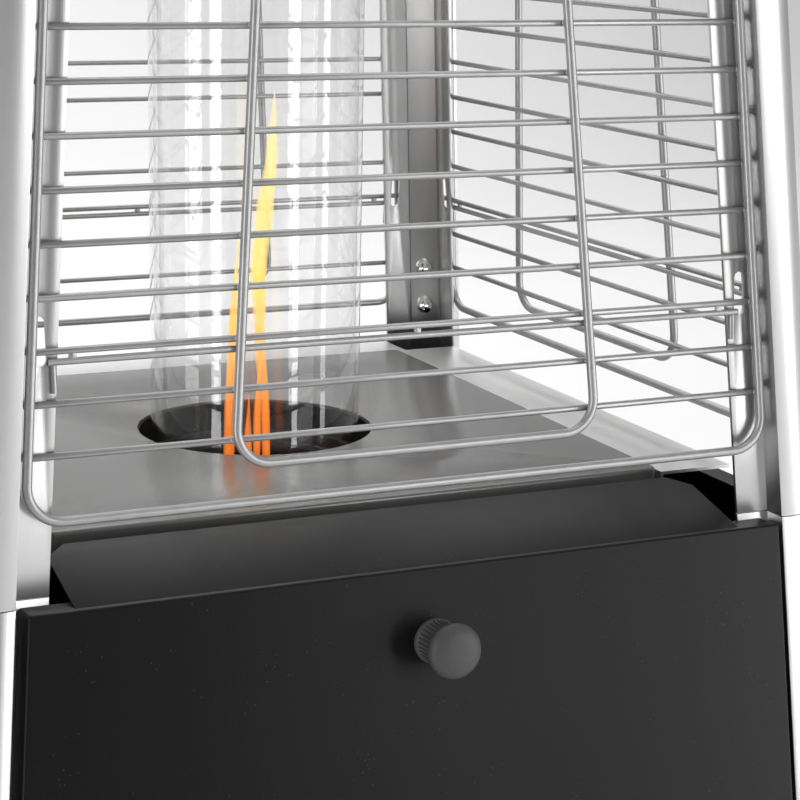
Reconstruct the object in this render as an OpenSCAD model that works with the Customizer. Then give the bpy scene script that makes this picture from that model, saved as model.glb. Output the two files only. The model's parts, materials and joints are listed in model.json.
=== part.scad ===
// Pyramid patio heater with a quartz flame tube, four leaning corner posts,
// hook-on wire guards and a cabinet with a drop-down front door.
// Origin: middle of the footprint on the floor. Front is -Y, up is +Z.

/* [Overall] */
// Half-width between the post flange planes at the floor
base_half = 246.5; // [235:0.5:275]
// Sideways lean of every face per unit of height
lean = 0.077; // [0.065:0.001:0.082]
// Height of the burner plate above the floor
plate_z = 780; // [740:5:900]
// Length of the glass tube
tube_len = 1257; // [1100:1:1300]
// Outside diameter of the glass tube
tube_od = 101.6; // [90:0.1:105]
// Wall of the glass tube
tube_wall = 2.2; // [1.5:0.1:4]

/* [Posts] */
// Wall of the aluminium extrusion
post_wall = 1.6; // [1.2:0.1:2]
// Distance from the corner of the flange planes to a flange's free edge
flange_reach = 30.3; // [26:0.1:34]
// Distance from the same corner to the step beside the rounded nose
step_reach = 14.4; // [12:0.1:16]
// Radius of the rounded nose
nose_r = 21.1; // [18:0.1:24]
// Inward offset of the nose centre from the corner
nose_inset = 9.4; // [8:0.1:11]
// Height of the joint between the post lengths, below the burner plate
seam_drop = 11; // [6:1:30]
// Length of the joiner bar on each side of the joint
joiner_reach = 74; // [60:1:100]
// Running gap around a joiner bar
joiner_gap = 0.3; // [0.2:0.05:0.6]
// Distance of the first joiner screw from the joint
screw_first = 31; // [20:1:40]
// Distance between two joiner screws
screw_pitch = 22.6; // [16:0.1:30]
// Diameter of a screw shank
screw_d = 5; // [4:0.5:6]
// Diameter of a screw head
screw_head_d = 10; // [8:0.5:11]
// Height of a screw head
screw_head_h = 3.4; // [2:0.1:4]

/* [Wire guards] */
// Diameter of the guard frame wire
frame_wire_d = 4; // [3:0.1:5]
// Diameter of the cross wires
cross_wire_d = 2.8; // [2:0.1:3.4]
// Spacing of the cross wires
wire_pitch = 20.08; // [16:0.01:30]
// Height of a guard's lowest wire above the burner plate
guard_rise = 18.7; // [14:0.1:40]
// Gap between a guard's lowest wire and the loop above it
loop_rise = 15; // [12:0.1:30]
// Distance from the lowest wire to the first cross wire
first_cross = 24.9; // [20:0.1:40]
// Distance from the flange-plane corner to the guard's side wires
guard_inset = 18.8; // [18:0.1:22]
// Gap between the guards' cross wires and the post flanges
guard_gap = 0.35; // [0.15:0.05:2]
// Share of the guard's width between the two inner verticals
inner_share = 0.5; // [0.35:0.01:0.6]
// Bend radius of the frame wire
frame_bend_r = 14; // [8:0.5:18]
// Drop of the hook wire below its cross wire
hook_drop = 4.1; // [4:0.1:6]
// Length of the hook's turned-down end
hook_len = 12; // [8:0.5:14]
// Distance from a flange's free edge to the hook slot
slot_inset = 6.5; // Free width of a hook slot beside the hook's wire
slot_free = 2.2; // [1.6:0.1:3.2]
// Lift that takes the guards off their hooks
guard_lift = 13; // [10:0.5:14]
// Clear space kept between parts that slide past each other
slide_gap = 0.35; // [0.3:0.05:1]

/* [Cabinet] */
// How far the base reaches out past the flange planes
base_overhang = 18.5; // [15.5:0.5:40]
// Height of the base deck above the floor
deck_z = 75; // [72:1:90]
// Lower edge of the base skirt above the floor
skirt_z = 25; // [22:1:30]
// Sheet thickness of the base
base_sheet = 2; // [1.5:0.5:3]
// Sheet thickness of door and panels
panel_sheet = 1.2; // [0.8:0.1:2]
// Stand-off of the door's face from the flange plane
door_proud = 14.8; // [13:0.1:18]
// Stand-off of the side and rear panels from the flange plane
panel_proud = 11; // [8:0.1:14]
// Distance from the flange-plane corner to the edge of door and panels
panel_inset = 18.5; // [17.5:0.1:21]
// Distance from the joint down to the top edge of door and panels
door_top_gap = 3; // [2:0.5:8]
// Height of the door's lower edge above the deck
door_foot = 12; // [10:1:20]
// Stand-off of the hinge axis from the flange plane
hinge_proud = 4.5; // [4:0.1:6]
// Diameter of the hinge pins
hinge_pin_d = 6; // [5:0.5:7]
// Radial gap between hinge pin and ear
pin_gap = 0.08; // [0.05:0.01:0.1]
// Distance of the hinge ears from the flange-plane corners
hinge_inset = 47.8; // [40:0.1:80]
// Distance of the flap's ends from the flange-plane corners
flap_inset = 37.5; // [35:0.1:50]
// Depth of the flap from front to rear
flap_depth = 52; // [40:0.5:56]
// Upward slope of the flap in degrees
flap_slope = 14; // [10:0.5:18]
// Chamfer of the flap's rear corners
flap_cut = 9; // [4:0.5:12]
// Diameter of the door knob's head
pull_d = 23; // [18:0.5:30]
// Distance of the door knob below the door's top edge
pull_drop = 31; // [26:1:60]

/* [Burner deck] */
// Gap from the flange planes to the sides of the burner plate
plate_side_gap = 42.34; // [37:0.01:46]
// Gap from the front flange plane to the burner plate
plate_front_gap = 45.94; // [41:0.01:50]
// Sheet thickness of the burner plate
plate_sheet = 1.5; // [1:0.1:2.5]
// Turned-down edge of the burner plate
plate_lip = 9; // [7:0.5:14]
// Corner radius of the burner plate
plate_corner = 4; // [2:0.5:8]
// Gap around the tube where it passes the burner plate
opening_gap = 6.35; // [4:0.05:9]
// Depth of the control box below the burner plate
box_depth = 150; // [140:1:180]
// Depth of the ledge that the tube stands on
ledge_drop = 24; // [18:1:30]
// Depth of the burner cup
cup_depth = 66; // [60:1:80]
// Diameter of the burner head
burner_d = 64; // [50:1:70]

/* [Controls] */
// Diameter of the control knob
knob_d = 46; // [36:1:50]
// Distance of the controls below the burner plate
control_drop = 82; // [76:1:90]
// Sideways place of the control knob
knob_x = -42; // [-70:1:-32]
// Sideways place of the igniter button
igniter_x = 52; // [40:1:80]
// Diameter of the igniter button
igniter_d = 19; // [14:0.5:24]
// Travel of the igniter button
igniter_travel = 5; // [3:0.5:6]
// Travel of the control knob when it is pressed
press_travel = 3; // [2:0.5:4]
// Diameter of the control stem
stem_d = 8; // [6:0.5:10]

/* [Head] */
// Length of the perforated flame screen
screen_len = 118; // [90:1:150]
// Half-width of the top cap
cap_half = 118; // [105:1:140]
// Height of the head pan's skirt
head_skirt = 26; // [18:1:32]
// Thickness of the head pan and the cap
head_sheet = 2; // [1.2:0.1:3]
// Clear gap around the tube where it passes the head pan
tube_gap = 2.2; // [1.5:0.1:4]

/* [Wheels and feet] */
// Diameter of a wheel
wheel_d = 68; // [60:1:70]
// Width of a wheel
wheel_w = 26; // [20:1:30]
// Height of the wheels above the floor when the heater stands
wheel_lift = 2; // [1.5:0.5:4]
// Half-distance between the wheels' middles
wheel_half = 150; // [120:1:180]
// Diameter of the axle
axle_d = 10; // [8:0.5:12]
// Radial gap between axle and wheel bore
axle_gap = 0.08; // [0.05:0.01:0.1]
// Diameter of a rubber foot
foot_d = 44; // [30:1:50]
// Diameter of an anchor hole in the deck
anchor_d = 9; // [7:0.5:12]
// Diameter of the ring that locates the gas bottle
bottle_ring_d = 322; // [300:1:330]

/* [Hidden] */
$fn = 48;
eps = 0.01;
far = 3000;
face_tilt = atan(lean);
post_tilt = atan(lean * sqrt(2));
silver = [0.75, 0.76, 0.78];
bright = [0.85, 0.85, 0.86];
wire_grey = [0.62, 0.64, 0.66];
black = [0.15, 0.15, 0.15];
plate_grey = [0.56, 0.55, 0.54];
dark = [0.1, 0.1, 0.1];
brass = [0.78, 0.62, 0.3];
silicone = [0.12, 0.12, 0.12];

// Half-width between the flange planes at height z
function half_at(z) = base_half - lean * z;
// Distance along a face that reaches height z
function along_face(z) = z / cos(face_tilt);
// Distance along a post that reaches height z
function along_post(z) = z / cos(post_tilt);

seam_z = plate_z - seam_drop;
seam_gap = 0.2;
slant_trim = 0.6;
wall_sum = step_reach + 2 * post_wall - slant_trim;
tube_foot = plate_z - ledge_drop + 3;
tube_top = tube_foot + tube_len;
head_z = tube_top - 14;
post_top = head_z - slide_gap;
frame_r = frame_wire_d / 2;
cross_r = cross_wire_d / 2;
weld = 0.15;
bend_swell = 0.1;
bend_lap = 0.5;
cross_n = guard_gap + cross_r;
guard_standoff = cross_n + cross_r + frame_r - weld;
guard_foot = plate_z + guard_rise;
guard_s0 = along_face(guard_foot);
loop_s = guard_s0 + loop_rise;
cross_s0 = guard_s0 + first_cross;
guard_room = along_face(head_z - head_skirt) - guard_lift - frame_r - slide_gap - first_cross / 2;
cross_count = floor((guard_room - cross_s0) / wire_pitch) + 1;
guard_s1 = cross_s0 + (cross_count - 1) * wire_pitch + first_cross / 2;
hook_rows = [2, cross_count - 4];
slot_below = cross_r + slide_gap;
slot_w = cross_wire_d + slot_free;
slot_h = slot_w + guard_lift + 1;
door_top = seam_z - door_top_gap;
door_low = deck_z + door_foot;
hinge_z = door_low;
hinge_y = half_at(hinge_z) + hinge_proud;
hinge_half = half_at(hinge_z) - hinge_inset;
flap_half = half_at(door_top) - flap_inset;
base_out_half = base_half + base_overhang;
axle_z = wheel_lift + wheel_d / 2;
axle_y = base_out_half - wheel_d / 2 - 1;
plate_half = half_at(plate_z) - plate_side_gap;
plate_front = half_at(plate_z) - plate_front_gap;
opening_d = tube_od + 2 * opening_gap;
box_half = plate_half - 4;
box_front = plate_front - 3;
box_wall = 1.2;
control_z = plate_z - control_drop;
ledge_r = tube_od / 2 - 9;
cup_r = opening_d / 2 - 0.6;
burner_z = plate_z - cup_depth + 12;
inlet_d = 16;
inlet_y = 30;
neck_len = 16;
pipe_d = 8;
elbow_d = 12;
valve_x = knob_x;
valve_y = -box_front + 34;
stem_front = box_front + 12;
screw_rows = [deck_z + 40, door_top - 62];
screw_heights = [seam_z - screw_first - screw_pitch, seam_z - screw_first,
    seam_z + screw_first, seam_z + screw_first + screw_pitch];
anchor_half = base_out_half - 78;
foot_half = base_out_half - 45;
cheek_w = 3;
cheek_out = wheel_half + wheel_w / 2 + 6;
cheek_in = wheel_half - wheel_w / 2 - 6;
ear_w = 3;
arm_half = hinge_half - 7;
magnet_z = door_top - 36;
magnet_w = 12;
magnet_h = 30;
strike_t = 1;
pull_len = 23;
pull_screw_d = 4;
edge_tilt = atan(lean * cos(face_tilt));
loop_lean = 0.96 * lean;
loop_tilt = atan(loop_lean);
loop_half = inner_share * (half_at(plate_z) - guard_inset);
inner_meet = along_face(plate_z) + loop_half / loop_lean;
screen_r = tube_od / 2 + 12;
screen_z = head_z + head_sheet;
screen_flange = 9;
head_half = half_at(head_z) - nose_inset + nose_r + 4;
seal_grip = 0.05;
stud_d = 6;
stud_half = (screen_r + screen_flange + 7) / sqrt(2);
cap_z = screen_z + screen_len + slide_gap;

// Face frame: x across, y up the slope, z outwards; 0 front, 1 right, 2 rear, 3 left
module face(i) {
    rotate([0, 0, 90 * i])
        translate([0, -base_half, 0])
            rotate([90 - face_tilt, 0, 0]) children();
}

// Post frame of the rear right corner, with z along the post
module post_frame() {
    translate([base_half, base_half, 0])
        rotate([0, 0, 45]) rotate([0, -post_tilt, 0]) rotate([0, 0, -45]) children();
}

// Closed core of the post profile, shrunk by inset
module post_core(inset) {
    intersection() {
        translate([-nose_inset, -nose_inset]) circle(r = nose_r - inset);
        translate([inset - step_reach, inset - step_reach]) square(3 * nose_r);
        rotate(45) translate([-wall_sum / sqrt(2) + inset, -2 * nose_r])
            square(4 * nose_r);
    }
}

// Post profile: hollow rounded nose with two flat flanges
module post_profile() {
    difference() {
        union() {
            post_core(0);
            translate([-flange_reach, -post_wall])
                square([flange_reach - step_reach + eps, post_wall]);
            translate([-post_wall, -flange_reach])
                square([post_wall, flange_reach - step_reach + eps]);
        }
        post_core(post_wall);
    }
}

// One length of post between two level cuts, rear right corner
module post_length(z0, z1) {
    intersection() {
        post_frame() translate([0, 0, along_post(z0) - 20])
            linear_extrude(height = along_post(z1 - z0) + 40) post_profile();
        translate([0, 0, z0]) cube([far, far, z1 - z0]);
    }
}

// Round-ended slot standing up the face, cut along z
module slot(w, h, depth) {
    translate([-w / 2, w / 2, -depth / 2]) cube([w, h - w, depth]);
    for (y = [w / 2, h - w / 2])
        translate([0, y, -depth / 2]) cylinder(d = w, h = depth);
}

// Sideways place of a hook at distance s up the face
function hook_x(s) = half_at(s * cos(face_tilt)) - flange_reach + slot_inset;
// Distance up the face of hook row r
function hook_s(r) = cross_s0 + r * wire_pitch - hook_drop;

// Hook slots of one face on one side
module hook_slots(side) {
    for (r = hook_rows)
        translate([side * hook_x(hook_s(r)), hook_s(r) - slot_below, 0])
            slot(slot_w, slot_h, 6 * post_wall);
}

// Frame of a joiner screw: z points inwards out of the slanting wall
module screw_frame(z) {
    post_frame() translate([-wall_sum / 2, -wall_sum / 2, along_post(z)])
        rotate([0, 0, 45]) rotate([0, -90, 0]) children();
}

module post(i, z0, z1) {
    rotate([0, 0, 90 * i]) difference() {
        post_length(z0, z1);
        face(1) hook_slots(1);
        face(2) hook_slots(-1);
        for (z = screw_heights)
            screw_frame(z) translate([0, 0, -2 * post_wall])
                cylinder(d = screw_d + 2 * slide_gap, h = 4 * post_wall);
        for (z = screw_rows) {
            face(1) translate([panel_screw_x(z), along_face(z), 0])
                cylinder(d = screw_d + 3, h = 6 * post_wall, center = true);
            face(2) translate([-panel_screw_x(z), along_face(z), 0])
                cylinder(d = screw_d + 3, h = 6 * post_wall, center = true);
        }
    }
}
module lower_post(i) { color(silver) post(i, deck_z, seam_z - seam_gap); }
module upper_post(i) { color(silver) post(i, seam_z + seam_gap, post_top); }
module post_lower_rear_right() { lower_post(0); }
module post_lower_rear_left() { lower_post(1); }
module post_lower_front_left() { lower_post(2); }
module post_lower_front_right() { lower_post(3); }
module post_upper_rear_right() { upper_post(0); }
module post_upper_rear_left() { upper_post(1); }
module post_upper_front_left() { upper_post(2); }
module post_upper_front_right() { upper_post(3); }

// Bars inside the post cores that hold the two lengths together
module post_joiners() {
    color(silver) for (i = [0:3]) rotate([0, 0, 90 * i]) difference() {
        post_frame() translate([0, 0, along_post(seam_z) - joiner_reach])
            linear_extrude(height = 2 * joiner_reach) difference() {
                post_core(post_wall + joiner_gap);
                post_core(post_wall + joiner_gap + 3);
            }
        for (z = screw_heights) screw_frame(z)
            translate([0, 0, -12]) cylinder(d = screw_d + eps, h = 12);
    }
}

// Pan-head screw with a cross recess, head on z = 0 upwards
module pan_screw(d, head_d, head_h, len) {
    difference() {
        union() {
            translate([0, 0, -len]) cylinder(d = d, h = len + eps);
            intersection() {
                cylinder(d = head_d, h = head_h);
                translate([0, 0, head_h - head_d * 0.75]) sphere(d = head_d * 1.5);
            }
        }
        for (a = [0, 90]) rotate([0, 0, a])
            translate([-head_d * 0.3, -0.6, head_h * 0.45]) cube([head_d * 0.6, 1.2, head_h]);
    }
}
module joiner_screws() {
    color(bright) for (i = [0:3]) rotate([0, 0, 90 * i])
        for (z = screw_heights) screw_frame(z)
            pan_screw(screw_d, screw_head_d, screw_head_h, post_wall + 5);
}

// Sloping trapezoid between heights z0 and z1 of a face
module face_outline(z0, z1, inset) {
    polygon([[-half_at(z0) + inset, along_face(z0)], [half_at(z0) - inset, along_face(z0)],
        [half_at(z1) - inset, along_face(z1)], [-half_at(z1) + inset, along_face(z1)]]);
}

// Shallow sheet pan on a face, open towards the cabinet
module face_pan(z0, z1, proud) {
    difference() {
        translate([0, 0, slide_gap])
            linear_extrude(height = proud - slide_gap) face_outline(z0, z1, panel_inset);
        linear_extrude(height = proud - panel_sheet)
            face_outline(z0 + panel_sheet, z1 - panel_sheet, panel_inset + panel_sheet);
    }
}
function panel_screw_x(z) = half_at(z) - flange_reach + slot_inset + 1;
module panel(i) {
    color(black) difference() {
        face(i) face_pan(deck_z + 4, door_top, panel_proud);
        for (z = screw_rows, side = [-1, 1])
            face(i) translate([side * panel_screw_x(z), along_face(z), panel_proud])
                cylinder(d = screw_d + 2 * slide_gap, h = 8 * panel_sheet, center = true);
    }
}
module panel_right() { panel(1); }
module panel_rear() {
    difference() {
        panel(2);
        color(black) for (k = [0:5])
            face(2) translate([0, along_face(160) + 22 * k, panel_proud])
                rotate([0, 0, 90]) translate([0, -60, 0]) slot(7, 120, 8 * panel_sheet);
    }
}
module panel_left() { panel(3); }
module panel_screws() {
    color(bright) for (i = [1:3], z = screw_rows, side = [-1, 1])
        face(i) translate([side * panel_screw_x(z), along_face(z), panel_proud])
            pan_screw(screw_d, screw_head_d, screw_head_h, panel_proud + 2 * post_wall);
}

// Inverted tray with a skirt, wheel cut-outs, vents and anchor holes
module base_tray() {
    color(black) difference() {
        translate([0, 0, skirt_z]) linear_extrude(height = deck_z - skirt_z)
            rounded_square(base_out_half, 8);
        translate([0, 0, skirt_z - 1]) linear_extrude(height = deck_z - skirt_z + 1 - base_sheet)
            rounded_square(base_out_half - base_sheet, 8 - base_sheet);
        for (side = [-1, 1])
            translate([side * wheel_half - wheel_w / 2 - 4, base_out_half - 20, skirt_z - 1])
                cube([wheel_w + 8, 40, axle_z + wheel_d / 2 + 3 - skirt_z]);
        for (x = [-1, 1], y = [-1, 1])
            translate([x * anchor_half, y * anchor_half, deck_z])
                cylinder(d = anchor_d, h = 6 * base_sheet, center = true);
        for (k = [0:7]) rotate([0, 0, 45 * k]) translate([80, 0, deck_z])
            cylinder(d = 16, h = 6 * base_sheet, center = true);
    }
}

// Square outline with rounded corners
module rounded_square(half, r) {
    square([2 * half, 2 * (half - r)], center = true);
    square([2 * (half - r), 2 * half], center = true);
    for (x = [-1, 1], y = [-1, 1]) translate([x * (half - r), y * (half - r)]) circle(r = r);
}
module base_feet() {
    color(dark) for (x = [-1, 1], y = [-1, 1])
        translate([x * foot_half, y * (y < 0 ? foot_half : foot_half - 45), 0])
            rotate_extrude() polygon([[0, 0], [foot_d / 2 - 2, 0], [foot_d / 2, 2],
                [foot_d / 2 - 4, skirt_z], [foot_d / 2 - 4, deck_z - base_sheet],
                [0, deck_z - base_sheet]]);
}

// Two cheeks beside each wheel, hanging from the deck on a common strip
module wheel_bracket() {
    top = deck_z - base_sheet - slide_gap;
    color(silver) difference() {
        union() {
            for (side = [-1, 1], x = [cheek_in, cheek_out])
                translate([side * x - cheek_w / 2, axle_y - 16, axle_z - 9])
                    cube([cheek_w, 30, top - axle_z + 9]);
            translate([-cheek_in, axle_y - 52, top - cheek_w])
                cube([2 * cheek_in, 16.5, cheek_w]);
            for (side = [-1, 1])
                translate([side * wheel_half - (cheek_out - cheek_in + cheek_w) / 2,
                    axle_y - 52, top - cheek_w])
                    cube([cheek_out - cheek_in + cheek_w, 16.5, cheek_w]);
            for (side = [-1, 1], x = [cheek_in, cheek_out])
                translate([side * x - cheek_w / 2, axle_y - 52, top - 16]) cube([cheek_w, 40, 16]);
        }
        translate([-far / 2, axle_y, axle_z]) rotate([0, 90, 0])
            cylinder(d = axle_d + 2 * eps, h = far);
    }
}
module wheel_axle() {
    color(bright) {
        translate([-cheek_out - 8, axle_y, axle_z]) rotate([0, 90, 0])
            cylinder(d = axle_d, h = 2 * cheek_out + 16);
        for (side = [-1, 1]) translate([side * (cheek_out + 4), axle_y, axle_z])
            rotate([0, 90, 0]) cylinder(d = axle_d + 8, h = 3, center = true);
    }
}

// Wheel with a rounded tread, dished face and spokes
module wheel(side) {
    color(dark) translate([side * wheel_half, axle_y, axle_z]) rotate([0, 90, 0]) difference() {
        union() {
            rotate_extrude() difference() {
                union() {
                    translate([axle_d / 2 + axle_gap, -wheel_w / 2]) square([8, wheel_w]);
                    translate([axle_d / 2 + 4, -3])
                        square([wheel_d / 2 - axle_d / 2 - 12, 6]);
                    translate([wheel_d / 2 - 10, 3 - wheel_w / 2]) square([10, wheel_w - 6]);
                    translate([wheel_d / 2 - 10, -wheel_w / 2]) square([7, wheel_w]);
                    for (y = [-1, 1]) translate([wheel_d / 2 - 3, y * (wheel_w / 2 - 3)])
                        circle(r = 3);
                }
            }
        }
        for (k = [0:4]) rotate([0, 0, 72 * k]) translate([wheel_d / 4 + 2.5, 0, 0])
            cylinder(d = 7, h = far, center = true);
    }
}
module wheel_left() { wheel(-1); }
module wheel_right() { wheel(1); }

// Low ring on the deck that keeps a gas bottle in place
module bottle_ring() {
    color(black) translate([0, 0, deck_z]) difference() {
        rotate_extrude() polygon([[bottle_ring_d / 2, 0], [bottle_ring_d / 2 + 14, 0],
            [bottle_ring_d / 2 + 14, 2], [bottle_ring_d / 2 + 2, 2], [bottle_ring_d / 2 + 2, 24],
            [bottle_ring_d / 2, 24]]);
        translate([-60, -bottle_ring_d, 2 + eps]) cube([120, bottle_ring_d, 30]);
    }
}

// Rails between the posts around the burner plate
module deck_rails() {
    rail_in = plate_half + 3;
    rail_out = half_at(plate_z) - 2;
    rail_z = plate_z - 2 * plate_sheet;
    color(silver) difference() {
        union() {
            translate([0, 0, rail_z - 1.5]) linear_extrude(height = 1.5) difference() {
                square(2 * rail_out, center = true);
                square([2 * rail_in, 2 * rail_in], center = true);
            }
            translate([0, 0, rail_z - 30]) linear_extrude(height = 30) difference() {
                square(2 * rail_in + 3, center = true);
                square(2 * rail_in, center = true);
            }
        }
        translate([-far / 2, -far - plate_half + 6, rail_z - 40]) cube([far, far, 80]);
        for (i = [0:3]) rotate([0, 0, 90 * i])
            translate([rail_out - flange_reach - 1, rail_out - flange_reach - 1, rail_z - 40])
                cube([far, far, 80]);
    }
}

// Grey plate over the controls, with turned-down edges and the tube opening
module plate_outline(inset) {
    r = plate_corner - inset;
    front = plate_front - inset;
    side = plate_half - inset;
    for (x = [-1, 1]) {
        translate([x * (side - r), side - r]) circle(r = r);
        translate([x * (side - r), r - front]) circle(r = r);
    }
    translate([-side, r - front]) square([2 * side, side + front - 2 * r]);
    translate([r - side, -front]) square([2 * side - 2 * r, side + front]);
}
module burner_plate() {
    color(plate_grey) difference() {
        translate([0, 0, plate_z - plate_lip]) linear_extrude(height = plate_lip)
            plate_outline(0);
        translate([0, 0, plate_z - plate_lip - 1])
            linear_extrude(height = plate_lip + 1 - plate_sheet) plate_outline(plate_sheet);
        translate([0, 0, plate_z])
            cylinder(d = opening_d, h = 6 * plate_sheet, center = true, $fn = 96);
    }
}

// Open-topped box under the plate that carries the controls
module control_box() {
    box_top = plate_z - plate_sheet;
    color(black) difference() {
        translate([-box_half, -box_front, box_top - box_depth])
            cube([2 * box_half, box_front + box_half, box_depth]);
        translate([box_wall - box_half, box_wall - box_front, box_top - box_depth + box_wall])
            cube([2 * (box_half - box_wall), box_front + box_half - 2 * box_wall, box_depth]);
        translate([knob_x, -box_front, control_z]) rotate([90, 0, 0])
            cylinder(d = stem_d + 4, h = 10, center = true);
        translate([igniter_x, -box_front, control_z]) rotate([90, 0, 0])
            cylinder(d = igniter_d + 3, h = 10, center = true);
        translate([valve_x, inlet_y, box_top - box_depth])
            cylinder(d = inlet_d + 2 * slide_gap, h = 10, center = true);
        for (side = [-1, 1], k = [0:3])
            translate([side * box_half, -40 + 30 * k, control_z - 12]) rotate([0, 90, 0])
                cylinder(d = 12, h = 10, center = true);
    }
}

// Stepped cup: wide mouth, ledge for the tube, deep burner well
module burner_cup() {
    t = 1.2;
    mouth = plate_z - plate_sheet;
    ledge = plate_z - ledge_drop;
    floor_z = plate_z - cup_depth;
    color(dark) difference() {
        rotate_extrude($fn = 96) polygon([[cup_r + 9, mouth], [cup_r, mouth], [cup_r, ledge],
            [ledge_r, ledge], [ledge_r, floor_z], [8, floor_z], [8, floor_z - t],
            [ledge_r + t, floor_z - t], [ledge_r + t, ledge - t], [cup_r + t, ledge - t],
            [cup_r + t, mouth - t], [cup_r + 9, mouth - t]]);
        for (k = [0:17]) rotate([0, 0, 20 * k])
            translate([ledge_r, 0, floor_z + 16]) rotate([0, 90, 0])
                cylinder(d = 6, h = 12, center = true);
    }
}
// Silicone ring under the tube
module tube_seal() {
    z0 = plate_z - ledge_drop;
    r = tube_od / 2;
    color(silicone) rotate_extrude($fn = 96) polygon([[r - 7, z0], [r + 4, z0], [r + 4, z0 + 9],
        [r + seal_grip, z0 + 9], [r + seal_grip, z0 + 3], [r - 7, z0 + 3]]);
}
module glass_tube() {
    color([0.8, 0.9, 0.95, 0.3]) translate([0, 0, tube_foot]) difference() {
        cylinder(d = tube_od, h = tube_len, $fn = 128);
        translate([0, 0, -1]) cylinder(d = tube_od - 2 * tube_wall, h = tube_len + 2, $fn = 128);
    }
}

// Round burner head with a ring of ports and a neck
module burner_head() {
    r = burner_d / 2;
    color(bright) difference() {
        translate([0, 0, burner_z]) rotate_extrude($fn = 72) polygon([[0, 12], [r - 6, 12],
            [r, 7], [r, 0], [7.5, -4], [7.5, -neck_len], [5.5, -neck_len],
            [5.5, -4], [0, -2]]);
        for (k = [0:23]) rotate([0, 0, 15 * k]) translate([r - 3, 0, burner_z + 9])
            rotate([0, 40, 0]) cylinder(d = 2.6, h = 12, center = true);
        for (k = [0:11]) rotate([0, 0, 30 * k]) translate([r - 15, 0, burner_z + 9])
            cylinder(d = 2.6, h = 12, center = true);
    }
}

// Pipe from the valve outlet to the burner neck, with ball elbows
module gas_pipe() {
    neck = burner_z - neck_len - slide_gap;
    back = valve_y + 22 + slide_gap;
    color(brass) {
        translate([0, 0, control_z]) cylinder(d = pipe_d, h = neck - control_z);
        translate([0, 0, neck - 9]) cylinder(d = 14, h = 9, $fn = 6);
        translate([0, 0, control_z]) sphere(d = elbow_d);
        translate([0, 0, control_z]) rotate([0, -90, 0]) cylinder(d = pipe_d, h = -valve_x);
        translate([valve_x, 0, control_z]) sphere(d = elbow_d);
        translate([valve_x, back, control_z]) rotate([-90, 0, 0]) cylinder(d = pipe_d, h = -back);
    }
}
module gas_valve() {
    color(brass) {
        translate([valve_x - 17, valve_y - 14, control_z - 17]) cube([34, 36, 34]);
        translate([valve_x, valve_y - 22, control_z]) rotate([-90, 0, 0])
            difference() {
                cylinder(d = 22, h = 10);
                translate([0, 0, -1]) cylinder(d = stem_d + 2 * pin_gap, h = 9);
            }
        translate([valve_x, valve_y + 4, control_z - 24]) cylinder(d = 12, h = 10);
    }
}
module valve_bracket() {
    y0 = -box_front + box_wall;
    color(silver) {
        difference() {
            translate([valve_x - 26, y0, control_z - 30]) cube([52, 1.6, 60]);
            translate([valve_x, y0, control_z]) rotate([90, 0, 0])
                cylinder(d = 26, h = 20, center = true);
        }
        for (side = [-1, 1])
            translate([valve_x + side * 22 - 0.8, y0 + 1.6 - eps, control_z - 20])
                cube([1.6, 24, 40]);
        for (side = [-1, 1])
            translate([valve_x + side * 19.6 - 2.2, y0 + 20, control_z - 6])
                cube([4.4, 5, 12]);
    }
}
// Threaded inlet under the box, with a pipe that runs over to the valve
module gas_inlet() {
    z0 = plate_z - plate_sheet - box_depth;
    run_z = z0 + 24;
    y1 = valve_y + 4;
    color(brass) {
        translate([valve_x, inlet_y, z0 - 26]) cylinder(d = inlet_d, h = 37);
        translate([valve_x, inlet_y, z0 - 6 - slide_gap]) cylinder(d = 24, h = 6, $fn = 6);
        translate([valve_x, inlet_y, z0 + box_wall + slide_gap]) cylinder(d = 24, h = 6, $fn = 6);
        translate([valve_x, inlet_y, z0 + 10]) cylinder(d = pipe_d, h = run_z - z0 - 10);
        translate([valve_x, inlet_y, run_z]) sphere(d = elbow_d);
        translate([valve_x, y1, run_z]) rotate([-90, 0, 0]) cylinder(d = pipe_d, h = inlet_y - y1);
        translate([valve_x, y1, run_z]) sphere(d = elbow_d);
        translate([valve_x, y1, run_z])
            cylinder(d = pipe_d, h = control_z - 24 - slide_gap - run_z);
    }
}

// Stem that turns the valve and is pressed to open the pilot
module control_stem() {
    color(bright) translate([knob_x, 0, control_z]) rotate([90, 0, 0])
        translate([0, 0, -valve_y + 22 - 8 + press_travel + 1])
            cylinder(d = stem_d, h = stem_front + valve_y - 22 + 8 - press_travel - 1);
}

// Fluted control knob with a pointer rib
module control_knob() {
    r = knob_d / 2;
    back = box_front + press_travel + 1.5;
    color(dark) translate([knob_x, 0, control_z]) rotate([90, 0, 0]) difference() {
        union() {
            translate([0, 0, back]) cylinder(r = r, h = 4);
            translate([0, 0, back + 4 - eps]) cylinder(r = r - 3, h = 16);
            translate([-2, 0, back + 4]) cube([4, r - 3.2, 17.5]);
        }
        for (k = [0:11]) rotate([0, 0, 30 * k + 15]) translate([r - 1.2, 0, back + 4])
            cylinder(r = 3, h = 30);
        translate([0, 0, back - 1]) cylinder(d = stem_d + 2 * pin_gap, h = stem_front - back + 1.3);
    }
}
module igniter_body() {
    d = igniter_d + 8;
    color(dark) translate([igniter_x, 0, control_z]) rotate([90, 0, 0]) difference() {
        union() {
            translate([0, 0, box_front + slide_gap]) cylinder(d = d, h = 4);
            translate([0, 0, box_front - 42]) cylinder(d = igniter_d + 2.4, h = 42 + slide_gap + 1);
        }
        translate([0, 0, box_front - 16]) cylinder(d = igniter_d - 4 + 2 * slide_gap, h = 40);
    }
}
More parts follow.
